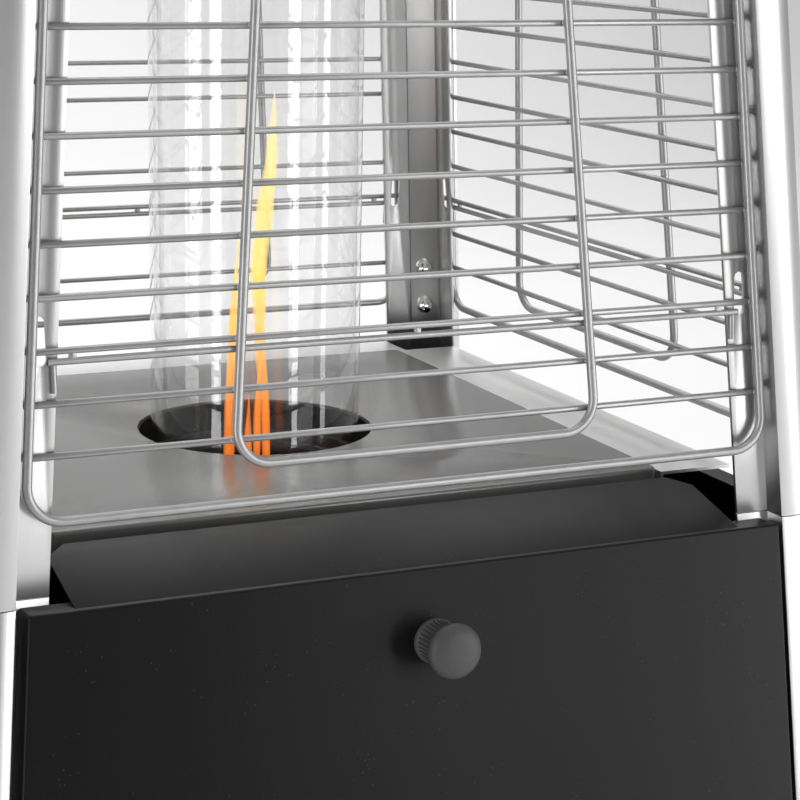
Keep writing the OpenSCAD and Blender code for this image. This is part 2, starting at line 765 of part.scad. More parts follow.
module igniter_button() {
    color([0.7, 0.1, 0.1]) translate([igniter_x, 0, control_z]) rotate([90, 0, 0]) {
        translate([0, 0, box_front - 16 + igniter_travel + 1])
            cylinder(d = igniter_d - 4, h = 21);
        translate([0, 0, box_front + 4 + igniter_travel + slide_gap + 0.3])
            intersection() {
                cylinder(d = igniter_d, h = 5);
                translate([0, 0, -igniter_d]) sphere(r = igniter_d + 5);
            }
    }
}
module tilt_switch() {
    z0 = plate_z - plate_sheet - box_depth + box_wall;
    color(dark) translate([92, 30, z0]) {
        cube([30, 22, 26]);
        translate([-8, 4, 0]) cube([46, 14, 2]);
    }
}

// Pilot burner, thermocouple and electrode stand together on the cup's floor
module pilot_burner() {
    z0 = plate_z - cup_depth;
    color(brass) {
        translate([burner_d / 2 + 3.2, 0, z0 + slide_gap]) cylinder(d = 5, h = 32);
        translate([burner_d / 2 + 3.2, 0, z0 + 24]) cylinder(d = 5.6, h = 7);
    }
}
module thermocouple() {
    z0 = plate_z - cup_depth;
    color(bright) rotate([0, 0, 22]) translate([burner_d / 2 + 3.4, 0, z0 + slide_gap])
        cylinder(d = 4, h = 40);
}
module spark_electrode() {
    z0 = plate_z - cup_depth;
    color([0.93, 0.92, 0.88]) rotate([0, 0, -22])
        translate([burner_d / 2 + 3.4, 0, z0 + slide_gap]) {
            cylinder(d = 5, h = 26);
            cylinder(d = 1.8, h = 38);
        }
}

// Door pan with its folded-back flap and hinge ears
module front_door() {
    top_y = half_at(door_top) + door_proud;
    color(black) {
        difference() {
            union() {
                difference() {
                    face(0) face_pan(door_low, door_top, door_proud);
                    for (side = [-1, 1]) hinge_notch(side);
                }
                for (side = [-1, 1]) door_ear(side);
            }
            face(0) translate([0, along_face(door_top) - pull_drop, door_proud])
                cylinder(d = 5, h = 8 * panel_sheet, center = true);
            for (side = [-1, 1]) translate([side * hinge_half, -hinge_y, hinge_z])
                rotate([0, 90, 0]) cylinder(d = hinge_pin_d + 2 * pin_gap, h = 6, center = true);
        }
        translate([0, -top_y, door_top - panel_sheet]) rotate([flap_slope, 0, 0])
            linear_extrude(height = panel_sheet) polygon([[-flap_half, 0], [flap_half, 0],
                [flap_half, flap_depth - flap_cut], [flap_half - flap_cut, flap_depth],
                [flap_cut - flap_half, flap_depth], [-flap_half, flap_depth - flap_cut]]);
    }
}
// Ear inside the door with its web to the front sheet
module door_ear(side) {
    reach = door_proud - hinge_proud - panel_sheet / 2;
    translate([side * hinge_half - ear_w / 2, -hinge_y, hinge_z]) rotate([0, 90, 0]) {
        cylinder(d = hinge_pin_d + 7, h = ear_w);
        translate([-14, -reach, 0]) cube([14, reach, ear_w]);
    }
}
// Room in the door's lower fold for the hinge arm and pin
module hinge_notch(side) {
    inner = arm_half - 6;
    outer = hinge_half + 5;
    depth = door_proud - hinge_proud - panel_sheet - 0.1;
    translate([side * (inner + outer) / 2, -hinge_y - depth, hinge_z - 5])
        translate([(inner - outer) / 2, 0, 0]) cube([outer - inner, depth + 16, 10]);
}
module door_hinge_pins() {
    color(silver) for (side = [-1, 1]) translate([side * arm_half, -hinge_y, hinge_z]) {
        rotate([0, 90, 0]) cylinder(d = hinge_pin_d + 3, h = ear_w, center = true);
        translate([-ear_w / 2, 0, deck_z - hinge_z]) cube([ear_w, 12, hinge_z - deck_z + 4.5]);
        translate([-12, 0, deck_z - hinge_z]) cube([24, 20, 2]);
        rotate([0, side * 90, 0]) cylinder(d = hinge_pin_d, h = hinge_half - arm_half + 2.6);
    }
}

// Mushroom pull with a ribbed neck
module door_pull() {
    r = pull_d / 2;
    color([0.24, 0.24, 0.24])
        face(0) translate([0, along_face(door_top) - pull_drop, door_proud]) difference() {
            union() {
                rotate_extrude($fn = 64) polygon([[0, 0], [r * 0.82, 0], [r * 0.74, 4], [r * 0.7, 12],
                    [r * 0.86, 14.5], [r * 0.98, 16], [r, 17.5], [r * 0.97, 19.2], [r * 0.8, 21.2],
                    [r * 0.5, 22.6], [0, pull_len]]);
                for (k = [0:15]) rotate([0, 0, 22.5 * k]) translate([r * 0.66, -0.6, 0.4])
                    cube([r * 0.15, 1.2, 12.4]);
            }
            translate([0, 0, -1]) cylinder(d = pull_screw_d, h = 15);
        }
}
module door_pull_screw() {
    color(bright) face(0)
        translate([0, along_face(door_top) - pull_drop, door_proud - panel_sheet - slide_gap])
            rotate([180, 0, 0]) pan_screw(pull_screw_d - eps, 8, 3, 13);
}
function magnet_x() = half_at(magnet_z) - 28.5;
module door_magnets() {
    color(dark) for (side = [-1, 1])
        face(0) translate([side * magnet_x() - magnet_w / 2, along_face(magnet_z) - magnet_h / 2, 0])
            cube([magnet_w, magnet_h, door_proud - panel_sheet - strike_t - slide_gap]);
}
module door_strikes() {
    color(silver) for (side = [-1, 1])
        face(0) translate([side * magnet_x() - magnet_w / 2, along_face(magnet_z) - magnet_h / 2,
            door_proud - panel_sheet - strike_t]) cube([magnet_w, magnet_h, strike_t]);
}

// Wire guard: frame, inner loop, cross wires and hooks
function wire_x(s) = half_at(s * cos(face_tilt)) - guard_inset;
function inner_x(s) = loop_half - (s - along_face(plate_z)) * loop_lean;

// Straight wire from point a to point b in the face plane
module wire(a, b, d, n) {
    v = b - a;
    translate([a[0], a[1], n]) rotate([0, 0, atan2(v[1], v[0])]) rotate([0, 90, 0])
        cylinder(d = d, h = norm(v), $fn = 24);
}

// Lower half of a bent frame: two sides, two bends and the bottom wire
module bent_frame(x0, s0, s1, tilt, n) {
    r = frame_bend_r;
    for (side = [-1, 1]) mirror([side < 0 ? 1 : 0, 0, 0]) {
        cx = x0 - r * (1 + sin(tilt)) / cos(tilt);
        translate([cx, s0 + r, n]) rotate([0, 0, -90])
            rotate_extrude(angle = 90 + tilt, $fn = 48) translate([r, 0])
                circle(d = frame_wire_d + bend_swell, $fn = 24);
        px = cx + r * cos(tilt);
        ps = s0 + r + r * sin(tilt);
        wire([px + bend_lap * sin(tilt), ps - bend_lap * cos(tilt)],
            [px - (s1 - ps) * tan(tilt), s1], frame_wire_d, n);
        wire([cx + bend_lap, s0], [-eps, s0], frame_wire_d, n);
    }
}
module guard_hook(s) {
    n0 = cross_n;
    leg = n0 + post_wall + slide_gap + cross_r;
    x = hook_x(s);
    for (side = [-1, 1]) mirror([side < 0 ? 1 : 0, 0, 0]) {
        wire([0, s], [x, s], cross_wire_d, n0);
        translate([x, s, n0]) sphere(d = cross_wire_d, $fn = 24);
        translate([x, s, n0 - leg]) cylinder(d = cross_wire_d, h = leg, $fn = 24);
        translate([x, s, n0 - leg]) sphere(d = cross_wire_d, $fn = 24);
        translate([x, s, n0 - leg]) rotate([90, 0, 0])
            cylinder(d = cross_wire_d, h = hook_len, $fn = 24);
    }
}
module guard(i) {
    color(wire_grey) face(i) {
        bent_frame(wire_x(guard_s0), guard_s0, guard_s1, edge_tilt, guard_standoff);
        bent_frame(inner_x(loop_s), loop_s, inner_meet - 30, loop_tilt, guard_standoff);
        wire([-wire_x(guard_s1), guard_s1], [wire_x(guard_s1), guard_s1],
            frame_wire_d, guard_standoff);
        for (side = [-1, 1]) translate([side * wire_x(guard_s1), guard_s1, guard_standoff])
            sphere(d = frame_wire_d + 2 * bend_swell, $fn = 24);
        for (k = [0 : cross_count - 1]) {
            s = cross_s0 + k * wire_pitch;
            wire([-wire_x(s), s], [wire_x(s), s], cross_wire_d, cross_n);
        }
        for (r = hook_rows) {
            guard_hook(hook_s(r));
            for (x = [-1, 0, 1]) translate([x * (hook_x(hook_s(r)) - 12) - 1.5,
                hook_s(r), cross_n - 0.8]) cube([3, hook_drop, 1.6]);
        }
    }
}
module guard_front() { guard(0); }
module guard_right() { guard(1); }
module guard_rear() { guard(2); }
module guard_left() { guard(3); }

// Pan over the post tops, with the opening for the tube
module head_pan() {
    color(black) difference() {
        translate([0, 0, head_z - head_skirt]) linear_extrude(height = head_skirt + head_sheet)
            rounded_square(head_half, 14);
        translate([0, 0, head_z - head_skirt - 1]) linear_extrude(height = head_skirt + 1)
            rounded_square(head_half - head_sheet, 14 - head_sheet);
        translate([0, 0, head_z])
            cylinder(d = tube_od + 2 * tube_gap, h = 8 * head_sheet, center = true, $fn = 96);
        for (x = [-1, 1], y = [-1, 1]) translate([x * stud_half, y * stud_half, head_z])
            cylinder(d = stud_d + 0.6, h = 8 * head_sheet, center = true);
    }
}
module head_seal() {
    z0 = head_z + head_sheet;
    r = tube_od / 2;
    color(silicone) rotate_extrude($fn = 96) polygon([[r + seal_grip, z0], [r + 7, z0],
        [r + 7, z0 + 4], [r + 3, z0 + 9], [r + seal_grip, z0 + 9]]);
}

// Perforated cylinder that hides the flame tip
module flame_screen() {
    t = 1.2;
    rows = floor((screen_len - 24) / 14);
    color(dark) difference() {
        translate([0, 0, screen_z]) rotate_extrude($fn = 96) polygon([[screen_r, 0],
            [screen_r + screen_flange, 0], [screen_r + screen_flange, t], [screen_r + t, t],
            [screen_r + t, screen_len], [screen_r, screen_len]]);
        for (k = [0 : rows - 1], a = [0:17])
            rotate([0, 0, 20 * a + 10 * (k % 2)])
                translate([screen_r, 0, screen_z + 16 + 14 * k]) rotate([0, 90, 0])
                    cylinder(d = 9, h = 12, center = true, $fn = 24);
    }
}
module top_cap() {
    color(black) difference() {
        union() {
            translate([0, 0, cap_z]) linear_extrude(height = head_sheet) rounded_square(cap_half, 12);
            translate([0, 0, cap_z - 12]) linear_extrude(height = 12 + eps) difference() {
                rounded_square(cap_half, 12);
                rounded_square(cap_half - head_sheet, 12 - head_sheet);
            }
        }
        for (x = [-1, 1], y = [-1, 1]) translate([x * stud_half, y * stud_half, cap_z])
            cylinder(d = stud_d + 0.6, h = 8 * head_sheet, center = true);
    }
}
module cap_studs() {
    color(bright) for (x = [-1, 1], y = [-1, 1])
        translate([x * stud_half, y * stud_half, head_z - 12])
            cylinder(d = stud_d, h = cap_z - head_z + 12 + head_sheet + 12);
}
module cap_nuts() {
    color(bright) for (x = [-1, 1], y = [-1, 1],
        z = [head_z - 5 - slide_gap, head_z + head_sheet, cap_z - 5 - slide_gap, cap_z + head_sheet])
        translate([x * stud_half, y * stud_half, z]) difference() {
            cylinder(d = 11.5, h = 5, $fn = 6);
            translate([0, 0, -1]) cylinder(d = stud_d + eps, h = 7);
        }
}

base_tray();
base_feet();
wheel_bracket();
wheel_axle();
wheel_left();
wheel_right();
bottle_ring();
post_lower_front_left();
post_lower_front_right();
post_lower_rear_left();
post_lower_rear_right();
post_upper_front_left();
post_upper_front_right();
post_upper_rear_left();
post_upper_rear_right();
post_joiners();
joiner_screws();
panel_left();
panel_right();
panel_rear();
panel_screws();
deck_rails();
front_door();
door_hinge_pins();
door_pull();
door_pull_screw();
door_magnets();
door_strikes();
burner_plate();
control_box();
burner_cup();
tube_seal();
burner_head();
gas_pipe();
pilot_burner();
thermocouple();
spark_electrode();
gas_valve();
valve_bracket();
gas_inlet();
control_stem();
control_knob();
igniter_body();
igniter_button();
tilt_switch();
glass_tube();
head_pan();
head_seal();
flame_screen();
top_cap();
cap_studs();
cap_nuts();
guard_front();
guard_right();
guard_rear();
guard_left();
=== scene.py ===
# %% [markdown]
# # Pyramid patio heater
# A gas heater with a tall glass flame tube stands on four leaning aluminium posts. Wire guards hook
# onto the posts, and a black cabinet with a drop-down door hides the gas bottle. The working parts
# come in as a fixed frame that is already the right size, and this lesson gives them their looks.
# Everything is in metres, the floor is z = 0 and the front of the heater faces -Y.

# %% Load the frame
import json
import math

import bmesh
import bpy
from mathutils import Matrix, Vector


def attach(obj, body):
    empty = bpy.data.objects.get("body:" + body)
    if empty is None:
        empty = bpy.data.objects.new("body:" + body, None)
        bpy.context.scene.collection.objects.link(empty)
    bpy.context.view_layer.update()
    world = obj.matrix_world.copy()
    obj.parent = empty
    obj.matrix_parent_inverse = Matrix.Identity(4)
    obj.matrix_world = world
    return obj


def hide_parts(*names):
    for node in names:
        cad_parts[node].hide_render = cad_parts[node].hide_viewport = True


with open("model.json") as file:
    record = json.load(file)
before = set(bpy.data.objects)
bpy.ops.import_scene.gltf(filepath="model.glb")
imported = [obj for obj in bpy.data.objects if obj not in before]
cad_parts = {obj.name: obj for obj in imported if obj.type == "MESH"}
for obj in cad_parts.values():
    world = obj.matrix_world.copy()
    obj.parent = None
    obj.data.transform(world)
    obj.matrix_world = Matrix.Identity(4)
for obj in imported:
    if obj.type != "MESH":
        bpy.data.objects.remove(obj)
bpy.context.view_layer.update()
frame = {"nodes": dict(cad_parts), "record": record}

# %% [markdown]
# The four faces of the heater lean inwards by the same amount. On each face it is easiest to draw
# flat: x across, y up the slope, z straight out of the face. One matrix per face then stands the
# drawing up where it belongs, and one matrix per corner does the same for the posts.

# %% Sizes that every piece shares
BASE_HALF = 0.2465
LEAN = 0.077
PLATE_Z = 0.780
SEAM_Z = 0.769
DECK_Z = 0.075
FACE_TILT = math.atan(LEAN)
POST_TILT = math.atan(LEAN * math.sqrt(2))
EDGE_TILT = math.atan(LEAN * math.cos(FACE_TILT))
WALL = 0.0016


def half_at(z):
    return BASE_HALF - LEAN * z


def along_face(z):
    return z / math.cos(FACE_TILT)


def along_post(z):
    return z / math.cos(POST_TILT)


def face_matrix(i):
    lean_back = Matrix.Rotation(math.pi / 2 - FACE_TILT, 4, "X")
    return Matrix.Rotation(math.pi / 2 * i, 4, "Z") @ Matrix.Translation((0, -BASE_HALF, 0)) @ lean_back


def post_matrix(i):
    turn = Matrix.Rotation(math.pi / 4, 4, "Z")
    lean_in = turn @ Matrix.Rotation(-POST_TILT, 4, "Y") @ turn.inverted()
    corner = Matrix.Translation((BASE_HALF, BASE_HALF, 0))
    return Matrix.Rotation(math.pi / 2 * i, 4, "Z") @ corner @ lean_in


print("half-width at the burner plate:", round(half_at(PLATE_Z), 4))

# %% [markdown]
# ## Working by hand in code
# Blender's operators act on whatever is selected, so each step first deselects everything and then
# picks faces or edges by their place or direction, as a hand would do with the mouse. A few small
# helpers keep the steps that follow short.

# %% Helpers for selecting and shaping
def clear_selection():
    if bpy.context.object and bpy.context.object.mode != "OBJECT":
        bpy.ops.object.mode_set(mode="OBJECT")
    bpy.ops.object.select_all(action="DESELECT")


def named(name):
    """The primitive that was just added gets its name."""
    piece = bpy.context.object
    piece.name = piece.data.name = name
    return piece


def only(*pieces):
    clear_selection()
    for piece in pieces:
        piece.select_set(True)
    bpy.context.view_layer.objects.active = pieces[0]
    return pieces[0]


def edit(piece):
    only(piece)
    bpy.ops.object.mode_set(mode="EDIT")


def done():
    bpy.ops.object.mode_set(mode="OBJECT")
    return bpy.context.object


def choose(kind, test):
    """Selects the verts, edges or faces of the edited mesh that pass a test."""
    bpy.ops.mesh.select_mode(type=kind)
    bpy.ops.mesh.select_all(action="DESELECT")
    mesh = bmesh.from_edit_mesh(bpy.context.object.data)
    parts = {"VERT": mesh.verts, "EDGE": mesh.edges, "FACE": mesh.faces}[kind]
    for part in parts:
        if test(part):
            part.select_set(True)
    bmesh.update_edit_mesh(bpy.context.object.data)
    return sum(part.select for part in parts)


def middle(edge):
    return (edge.verts[0].co + edge.verts[1].co) / 2


def finish_with(piece, kind, **settings):
    """Adds one modifier, sets it and applies it."""
    only(piece)
    step = piece.modifiers.new(kind.title(), kind)
    for key, value in settings.items():
        setattr(step, key, value)
    bpy.ops.object.modifier_apply(modifier=step.name)
    return piece


def cut(piece, tool, how="DIFFERENCE", folded=False):
    finish_with(piece, "BOOLEAN", object=tool, operation=how, solver="EXACT", use_self=folded)
    bpy.data.objects.remove(tool)
    return piece


def smooth(piece, degrees=35):
    only(piece)
    bpy.ops.object.shade_smooth_by_angle(angle=math.radians(degrees))
    return piece


def place(piece, matrix):
    """Stands a flat drawing up in the frame and leaves the object itself at the origin."""
    only(piece)
    piece.matrix_world = matrix
    bpy.ops.object.transform_apply(location=True, rotation=True, scale=True)
    return piece


def copy_of(piece, name):
    twin = piece.copy()
    twin.data = piece.data.copy()
    twin.name = twin.data.name = name
    bpy.context.scene.collection.objects.link(twin)
    return twin


def outward(piece):
    edit(piece)
    bpy.ops.mesh.select_all(action="SELECT")
    bpy.ops.mesh.remove_doubles(threshold=1e-6)
    bpy.ops.mesh.normals_make_consistent(inside=False)
    return done()


def joined(name, *pieces):
    only(*pieces)
    bpy.ops.object.join()
    return named(name)


clear_selection()
print("helpers ready")

# %% [markdown]
# ## Shader maths
# A finish is a small network of nodes. Writing it as sums and products is easier to read than
# placing nodes one by one, so a small class wraps a socket and turns +, - and * into Math nodes.

# %% Sockets that can be added and multiplied
class Signal:
    def __init__(self, finish, socket):
        self.finish = finish
        self.socket = socket

    def maths(self, operation, *values):
        node = self.finish.tree.nodes.new("ShaderNodeMath")
        node.operation = operation
        for place_in, value in zip(node.inputs, values):
            self.finish.feed(place_in, value)
        return Signal(self.finish, node.outputs[0])

    def __add__(self, other):
        return self.maths("ADD", self, other)

    def __radd__(self, other):
        return self.maths("ADD", other, self)

    def __sub__(self, other):
        return self.maths("SUBTRACT", self, other)

    def __rsub__(self, other):
        return self.maths("SUBTRACT", other, self)

    def __mul__(self, other):
        return self.maths("MULTIPLY", self, other)

    def __rmul__(self, other):
        return self.maths("MULTIPLY", other, self)

    def above(self, edge, width):
        """0 below the edge, 1 above it, with a ramp of that width."""
        return self.finish.node("ShaderNodeMapRange", {"interpolation_type": "SMOOTHSTEP"},
                                Value=self, **{"From Min": edge, "From Max": edge + width})


class Finish:
    def __init__(self, name, **constants):
        self.material = bpy.data.materials.new(name)
        self.material.use_nodes = True
        self.tree = self.material.node_tree
        self.shader = self.tree.nodes["Principled BSDF"]
        self.set(**constants)
        coordinates = self.tree.nodes.new("ShaderNodeTexCoord")
        self.place = Signal(self, coordinates.outputs["Object"])

    def feed(self, place_in, value):
        if isinstance(value, Signal):
            self.tree.links.new(value.socket, place_in)
        else:
            place_in.default_value = value

    def set(self, **values):
        for key, value in values.items():
            self.feed(self.shader.inputs[key.replace("_", " ")], value)
        return self

    def node(self, kind, settings=None, out=0, **values):
        node = self.tree.nodes.new(kind)
        for key, value in (settings or {}).items():
            if key == "stops":
                ramp = node.color_ramp.elements
                while len(ramp) < len(value):
                    ramp.new(1)
                for stop, (where, colour) in zip(ramp, value):
                    stop.position = where
                    stop.color = colour
            else:
                setattr(node, key, value)
        for key, value in values.items():
            self.feed(node.inputs[key], value)
        return Signal(self, node.outputs[out])

    def stretched(self, x, y, z):
        return self.node("ShaderNodeMapping", Vector=self.place, Scale=(x, y, z))

    def noise(self, scale, detail=3.0, where=None, roughness=0.55):
        return self.node("ShaderNodeTexNoise", Vector=where or self.place, Scale=scale,
                         Detail=detail, Roughness=roughness)

    def mixed(self, share, first, second):
        node = self.tree.nodes.new("ShaderNodeMix")
        node.data_type = "RGBA"
        self.feed(node.inputs[0], share)
        self.feed(node.inputs[6], first)
        self.feed(node.inputs[7], second)
        return Signal(self, node.outputs[2])

    def bumpy(self, height, strength, distance):
        return self.set(Normal=self.node("ShaderNodeBump", Height=height, Strength=strength,
                                         Distance=distance))


def grey(value, warm=0.0):
    return (value * (1 + warm), value, value * (1 - warm), 1)


print("shader helpers ready")

# %% [markdown]
# ## Brushed aluminium
# The posts are extruded and then brushed along their length, so their shine is streaked. Fine noise
# that is stretched a hundred times along the post gives the brush lines. The posts lean, so the
# pattern's x and y first get the lean added back, which keeps every line parallel to its post.

# %% Post aluminium and the plainer rail metal
def brushed(name, tone, rough, streak):
    finish = Finish(name, Metallic=1.0, Specular_IOR_Level=0.5)
    axes = finish.node("ShaderNodeSeparateXYZ", Vector=finish.place)
    node = axes.socket.node
    x, y, z = (Signal(finish, node.outputs[k]) for k in range(3))
    u = x.maths("ABSOLUTE", x) + z * LEAN
    v = y.maths("ABSOLUTE", y) + z * LEAN
    lines = finish.node("ShaderNodeCombineXYZ", X=u * 2600.0, Y=v * 2600.0, Z=z * 9.0)
    broad = finish.node("ShaderNodeCombineXYZ", X=u * 320.0, Y=v * 320.0, Z=z * 3.0)
    fine = finish.noise(1.0, 2.0, lines)
    wide = finish.noise(1.0, 3.0, broad)
    cloud = finish.noise(14.0, 3.0)
    finish.set(Base_Color=finish.mixed(wide * 0.6 + cloud * 0.4, grey(tone * 0.9), grey(tone, 0.004)))
    finish.set(Roughness=rough + fine * 0.10 + cloud * 0.06)
    return finish.bumpy(fine + wide * 0.6, streak, 0.0002)


post_finish = brushed("brushed_aluminium", 0.60, 0.26, 0.10)
rail_finish = brushed("rail_metal", 0.72, 0.30, 0.10)
print("brushed metals made")

# %% [markdown]
# ## Powder-coated sheet
# Door, panels, base and head are black powder coat: a satin skin with a fine orange-peel surface and
# a few brighter grains. The grain is noise at well under a millimetre. A second, slow noise makes
# the sheen vary a little from place to place, as a real coat does.

# %% Black coats
def powder_coat(name, tone, rough, grain=1.0, specks=0.5):
    finish = Finish(name, Specular_IOR_Level=0.16)
    peel = finish.noise(1500.0, 3.0)
    cloud = finish.noise(9.0, 4.0)
    dots = finish.node("ShaderNodeTexVoronoi", Vector=finish.place, Scale=420.0)
    speck = dots.maths("LESS_THAN", dots, 0.10) * finish.noise(70.0).above(0.56, 0.06) * specks
    coat = finish.mixed(peel * 0.7 + cloud * 0.3, grey(tone * 0.82), grey(tone * 1.15))
    finish.set(Base_Color=finish.mixed(speck, coat, grey(min(1.0, tone * 9 + 0.05))))
    finish.set(Roughness=rough + peel * 0.10 + cloud * 0.10 - 0.1)
    return finish.bumpy(peel, 0.18 * grain, 0.0003)


black_finish = powder_coat("black_coat", 0.0050, 0.38)
dark_finish = powder_coat("burner_coat", 0.011, 0.34, 0.6, 0.0)
magnet_finish = powder_coat("magnet_block", 0.02, 0.55, 1.2, 0.2)
print("powder coats made")

# %% [markdown]
# ## Coated wire, enamel plate and small metals
# The guard wire has a smooth silver-grey coat that pools slightly, so its shine wanders. The burner
# plate is a warm grey enamel with a tight gloss. Screws and studs are bright plated steel, and the
# brackets a duller zinc with a faint crystalline patchwork.

# %% Silver wire coat
wire_finish = Finish("silver_wire_coat", Metallic=0.6, Specular_IOR_Level=0.5)
pool = wire_finish.noise(160.0, 3.0)
orange = wire_finish.noise(1200.0, 2.0)
wire_finish.set(Base_Color=wire_finish.mixed(pool, grey(0.32), grey(0.43)))
wire_finish.set(Roughness=0.27 + pool * 0.14)
wire_finish.bumpy(orange + pool, 0.12, 0.0002)

# %% Enamel of the burner plate
plate_finish = Finish("plate_enamel", Metallic=0.35, Specular_IOR_Level=0.5)
flow = plate_finish.noise(11.0, 4.0)
dust = plate_finish.noise(1700.0, 2.0)
cast = flow * 0.7 + dust * 0.3
plate_finish.set(Base_Color=plate_finish.mixed(cast, grey(0.150, 0.02), grey(0.185, 0.015)))
plate_finish.set(Roughness=0.16 + flow * 0.10 + dust * 0.06)
plate_finish.bumpy(dust * 0.5 + flow, 0.08, 0.0003)

# %% Plated steels, brass and electrode
def plated(name, low, high, rough, scale, strength=0.1):
    finish = Finish(name, Metallic=1.0)
    patch = finish.node("ShaderNodeTexVoronoi", Vector=finish.place, Scale=scale)
    haze = finish.noise(scale * 2.5, 3.0)
    finish.set(Base_Color=finish.mixed(patch * 0.5 + haze * 0.5, low, high))
    finish.set(Roughness=rough + haze * 0.16)
    return finish.bumpy(haze, strength, 0.0002)


screw_finish = plated("bright_plating", grey(0.62), grey(0.82), 0.12, 300.0)
zinc_finish = plated("zinc_plating", (0.50, 0.52, 0.54, 1), (0.66, 0.67, 0.68, 1), 0.28, 180.0)
brass_finish = plated("brass", (0.62, 0.42, 0.16, 1), (0.78, 0.58, 0.26, 1), 0.2, 220.0)
print("metals made")

# %% [markdown]
# ## Rubber, silicone, plastic and glass
# Soft and moulded parts are matte with a fine texture. Each gets its own grain, so tyre, seal and
# knob don't look alike.

# %% Rubber, silicone, plastic, ceramic
def moulded(name, low, high, rough, scale, strength, level=0.4):
    finish = Finish(name, Specular_IOR_Level=level)
    grain = finish.noise(scale, 4.0)
    tone = finish.noise(30.0, 3.0)
    finish.set(Base_Color=finish.mixed(grain * 0.5 + tone * 0.5, low, high))
    finish.set(Roughness=rough + grain * 0.15)
    return finish.bumpy(grain, strength, 0.0004)


rubber_finish = moulded("black_rubber", grey(0.013), grey(0.03), 0.62, 900.0, 0.3)
seal_finish = moulded("charcoal_silicone", grey(0.022), grey(0.04), 0.5, 700.0, 0.12)
grip_finish = moulded("knob_plastic", grey(0.045), grey(0.068), 0.44, 1100.0, 0.22)
button_finish = moulded("red_button", (0.42, 0.01, 0.01, 1), (0.55, 0.02, 0.015, 1), 0.25, 500.0, 0.05)
ceramic_finish = moulded("white_ceramic", grey(0.72, 0.02), grey(0.82, 0.02), 0.3, 600.0, 0.08)
print("moulded finishes made")

# %% [markdown]
# Quartz glass this thin hardly tints anything. What the eye sees is its reflection, faint when
# looked at straight and strong towards the edge of the tube. So the finish is a mirror whose
# opacity rises steeply as the surface turns away, with a trace of haze from the flame.

# %% Quartz
quartz_finish = Finish("quartz_glass", Metallic=1.0)
haze = quartz_finish.noise(7.0, 3.0, quartz_finish.stretched(1.0, 1.0, 0.25))
facing = quartz_finish.node("ShaderNodeLayerWeight", None, 1, Blend=0.5)
edge_shine = 0.065 + facing.maths("POWER", facing, 4.0) * 0.85
quartz_finish.set(Base_Color=quartz_finish.mixed(haze, grey(0.86), grey(0.98)))
quartz_finish.set(Roughness=0.015 + haze * 0.03)
quartz_finish.set(Alpha=edge_shine + haze * 0.015)
print("quartz made")

# %% [markdown]
# ## Finishes for the frame's own parts
# The record that comes with the frame names a material slot for each part. Every part that is shown
# as it came gets the finish that belongs to its slot.

# %% Dress the frame
FINISH_OF = {
    "black_sheet": black_finish, "burner_black": dark_finish, "post_aluminium": post_finish,
    "rail_silver": rail_finish, "guard_wire": wire_finish, "plate_enamel": plate_finish,
    "zinc_steel": zinc_finish, "screw_chrome": screw_finish, "rubber_black": rubber_finish,
    "seal_silicone": seal_finish, "grip_plastic": grip_finish, "button_red": button_finish,
    "magnet_black": magnet_finish, "gas_brass": brass_finish, "electrode_white": ceramic_finish,
    "quartz": quartz_finish,
}
slot_of = {row["node"]: row["material_slot"] for row in frame["record"]["subparts"]}
for part, thing in frame["nodes"].items():
    thing.data.materials.clear()
    thing.data.materials.append(FINISH_OF[slot_of[part]].material)
print("dressed", len(slot_of), "parts")


def dress(piece, body, *stands_for, finish=None, slot=None):
    """A finished piece gets its finish, rides on its body and stands for its plain parts."""
    slot = slot or slot_of[stands_for[0]]
    piece.data.materials.clear()
    piece.data.materials.append((finish or FINISH_OF[slot]).material)
    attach(piece, body)
    if stands_for:
        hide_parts(*stands_for)
    return piece


# %% [markdown]
# ## Corner posts
# Each post is an aluminium extrusion: a hollow nose with a rounded outside, a slanting wall on the
# inside and two thin flanges. It is made as the die would make it. A long cylinder is bisected by
# the planes of the steps and the slanting wall, a smaller copy hollows it, and two thin bars
# become the flanges. A small bevel then breaks every edge, because a real edge catches the light.

# %% One straight length of extrusion
STEP, NOSE_R, NOSE_IN, REACH = 0.0144, 0.0211, 0.0094, 0.0303
WALL_SUM = STEP + 2 * WALL - 0.0006


def prism(inset, low, high):
    clear_selection()
    bpy.ops.mesh.primitive_cylinder_add(vertices=112, radius=NOSE_R - inset, depth=high - low,
                                        location=(-NOSE_IN, -NOSE_IN, (low + high) / 2))
    core = named("post_core")
    bpy.ops.object.transform_apply(location=True, rotation=True, scale=True)
    edit(core)
    slant = (inset * math.sqrt(2) - WALL_SUM) / 2
    for point, normal in (((inset - STEP, 0, 0), (1, 0, 0)), ((0, inset - STEP, 0), (0, 1, 0)),
                          ((slant, slant, 0), (1, 1, 0))):
        bpy.ops.mesh.select_all(action="SELECT")
        bpy.ops.mesh.bisect(plane_co=point, plane_no=normal, use_fill=True, clear_inner=True)
    return done()


def bar(low_corner, high_corner):
    clear_selection()
    low_corner, high_corner = Vector(low_corner), Vector(high_corner)
    bpy.ops.mesh.primitive_cube_add(size=1, location=(low_corner + high_corner) / 2,
                                    scale=high_corner - low_corner)
    bpy.ops.object.transform_apply(location=True, rotation=True, scale=True)
    return bpy.context.object


def extrusion(low, high):
    post = prism(0.0, low, high)
    cut(post, prism(WALL, low - 0.1, high + 0.1))
    cut(post, bar((-REACH, -WALL, low), (0.0004 - STEP, 0, high)), "UNION")
    cut(post, bar((-WALL, -REACH, low), (0, 0.0004 - STEP, high)), "UNION")
    return post


print("slanting wall stands", round(WALL_SUM / math.sqrt(2), 4), "from the corner")

# %% [markdown]
# The hook slots are cut with a round-ended cutter on both flanges. At last the ends are slid along
# the post until they are level, because the joint between the two lengths is a level line.

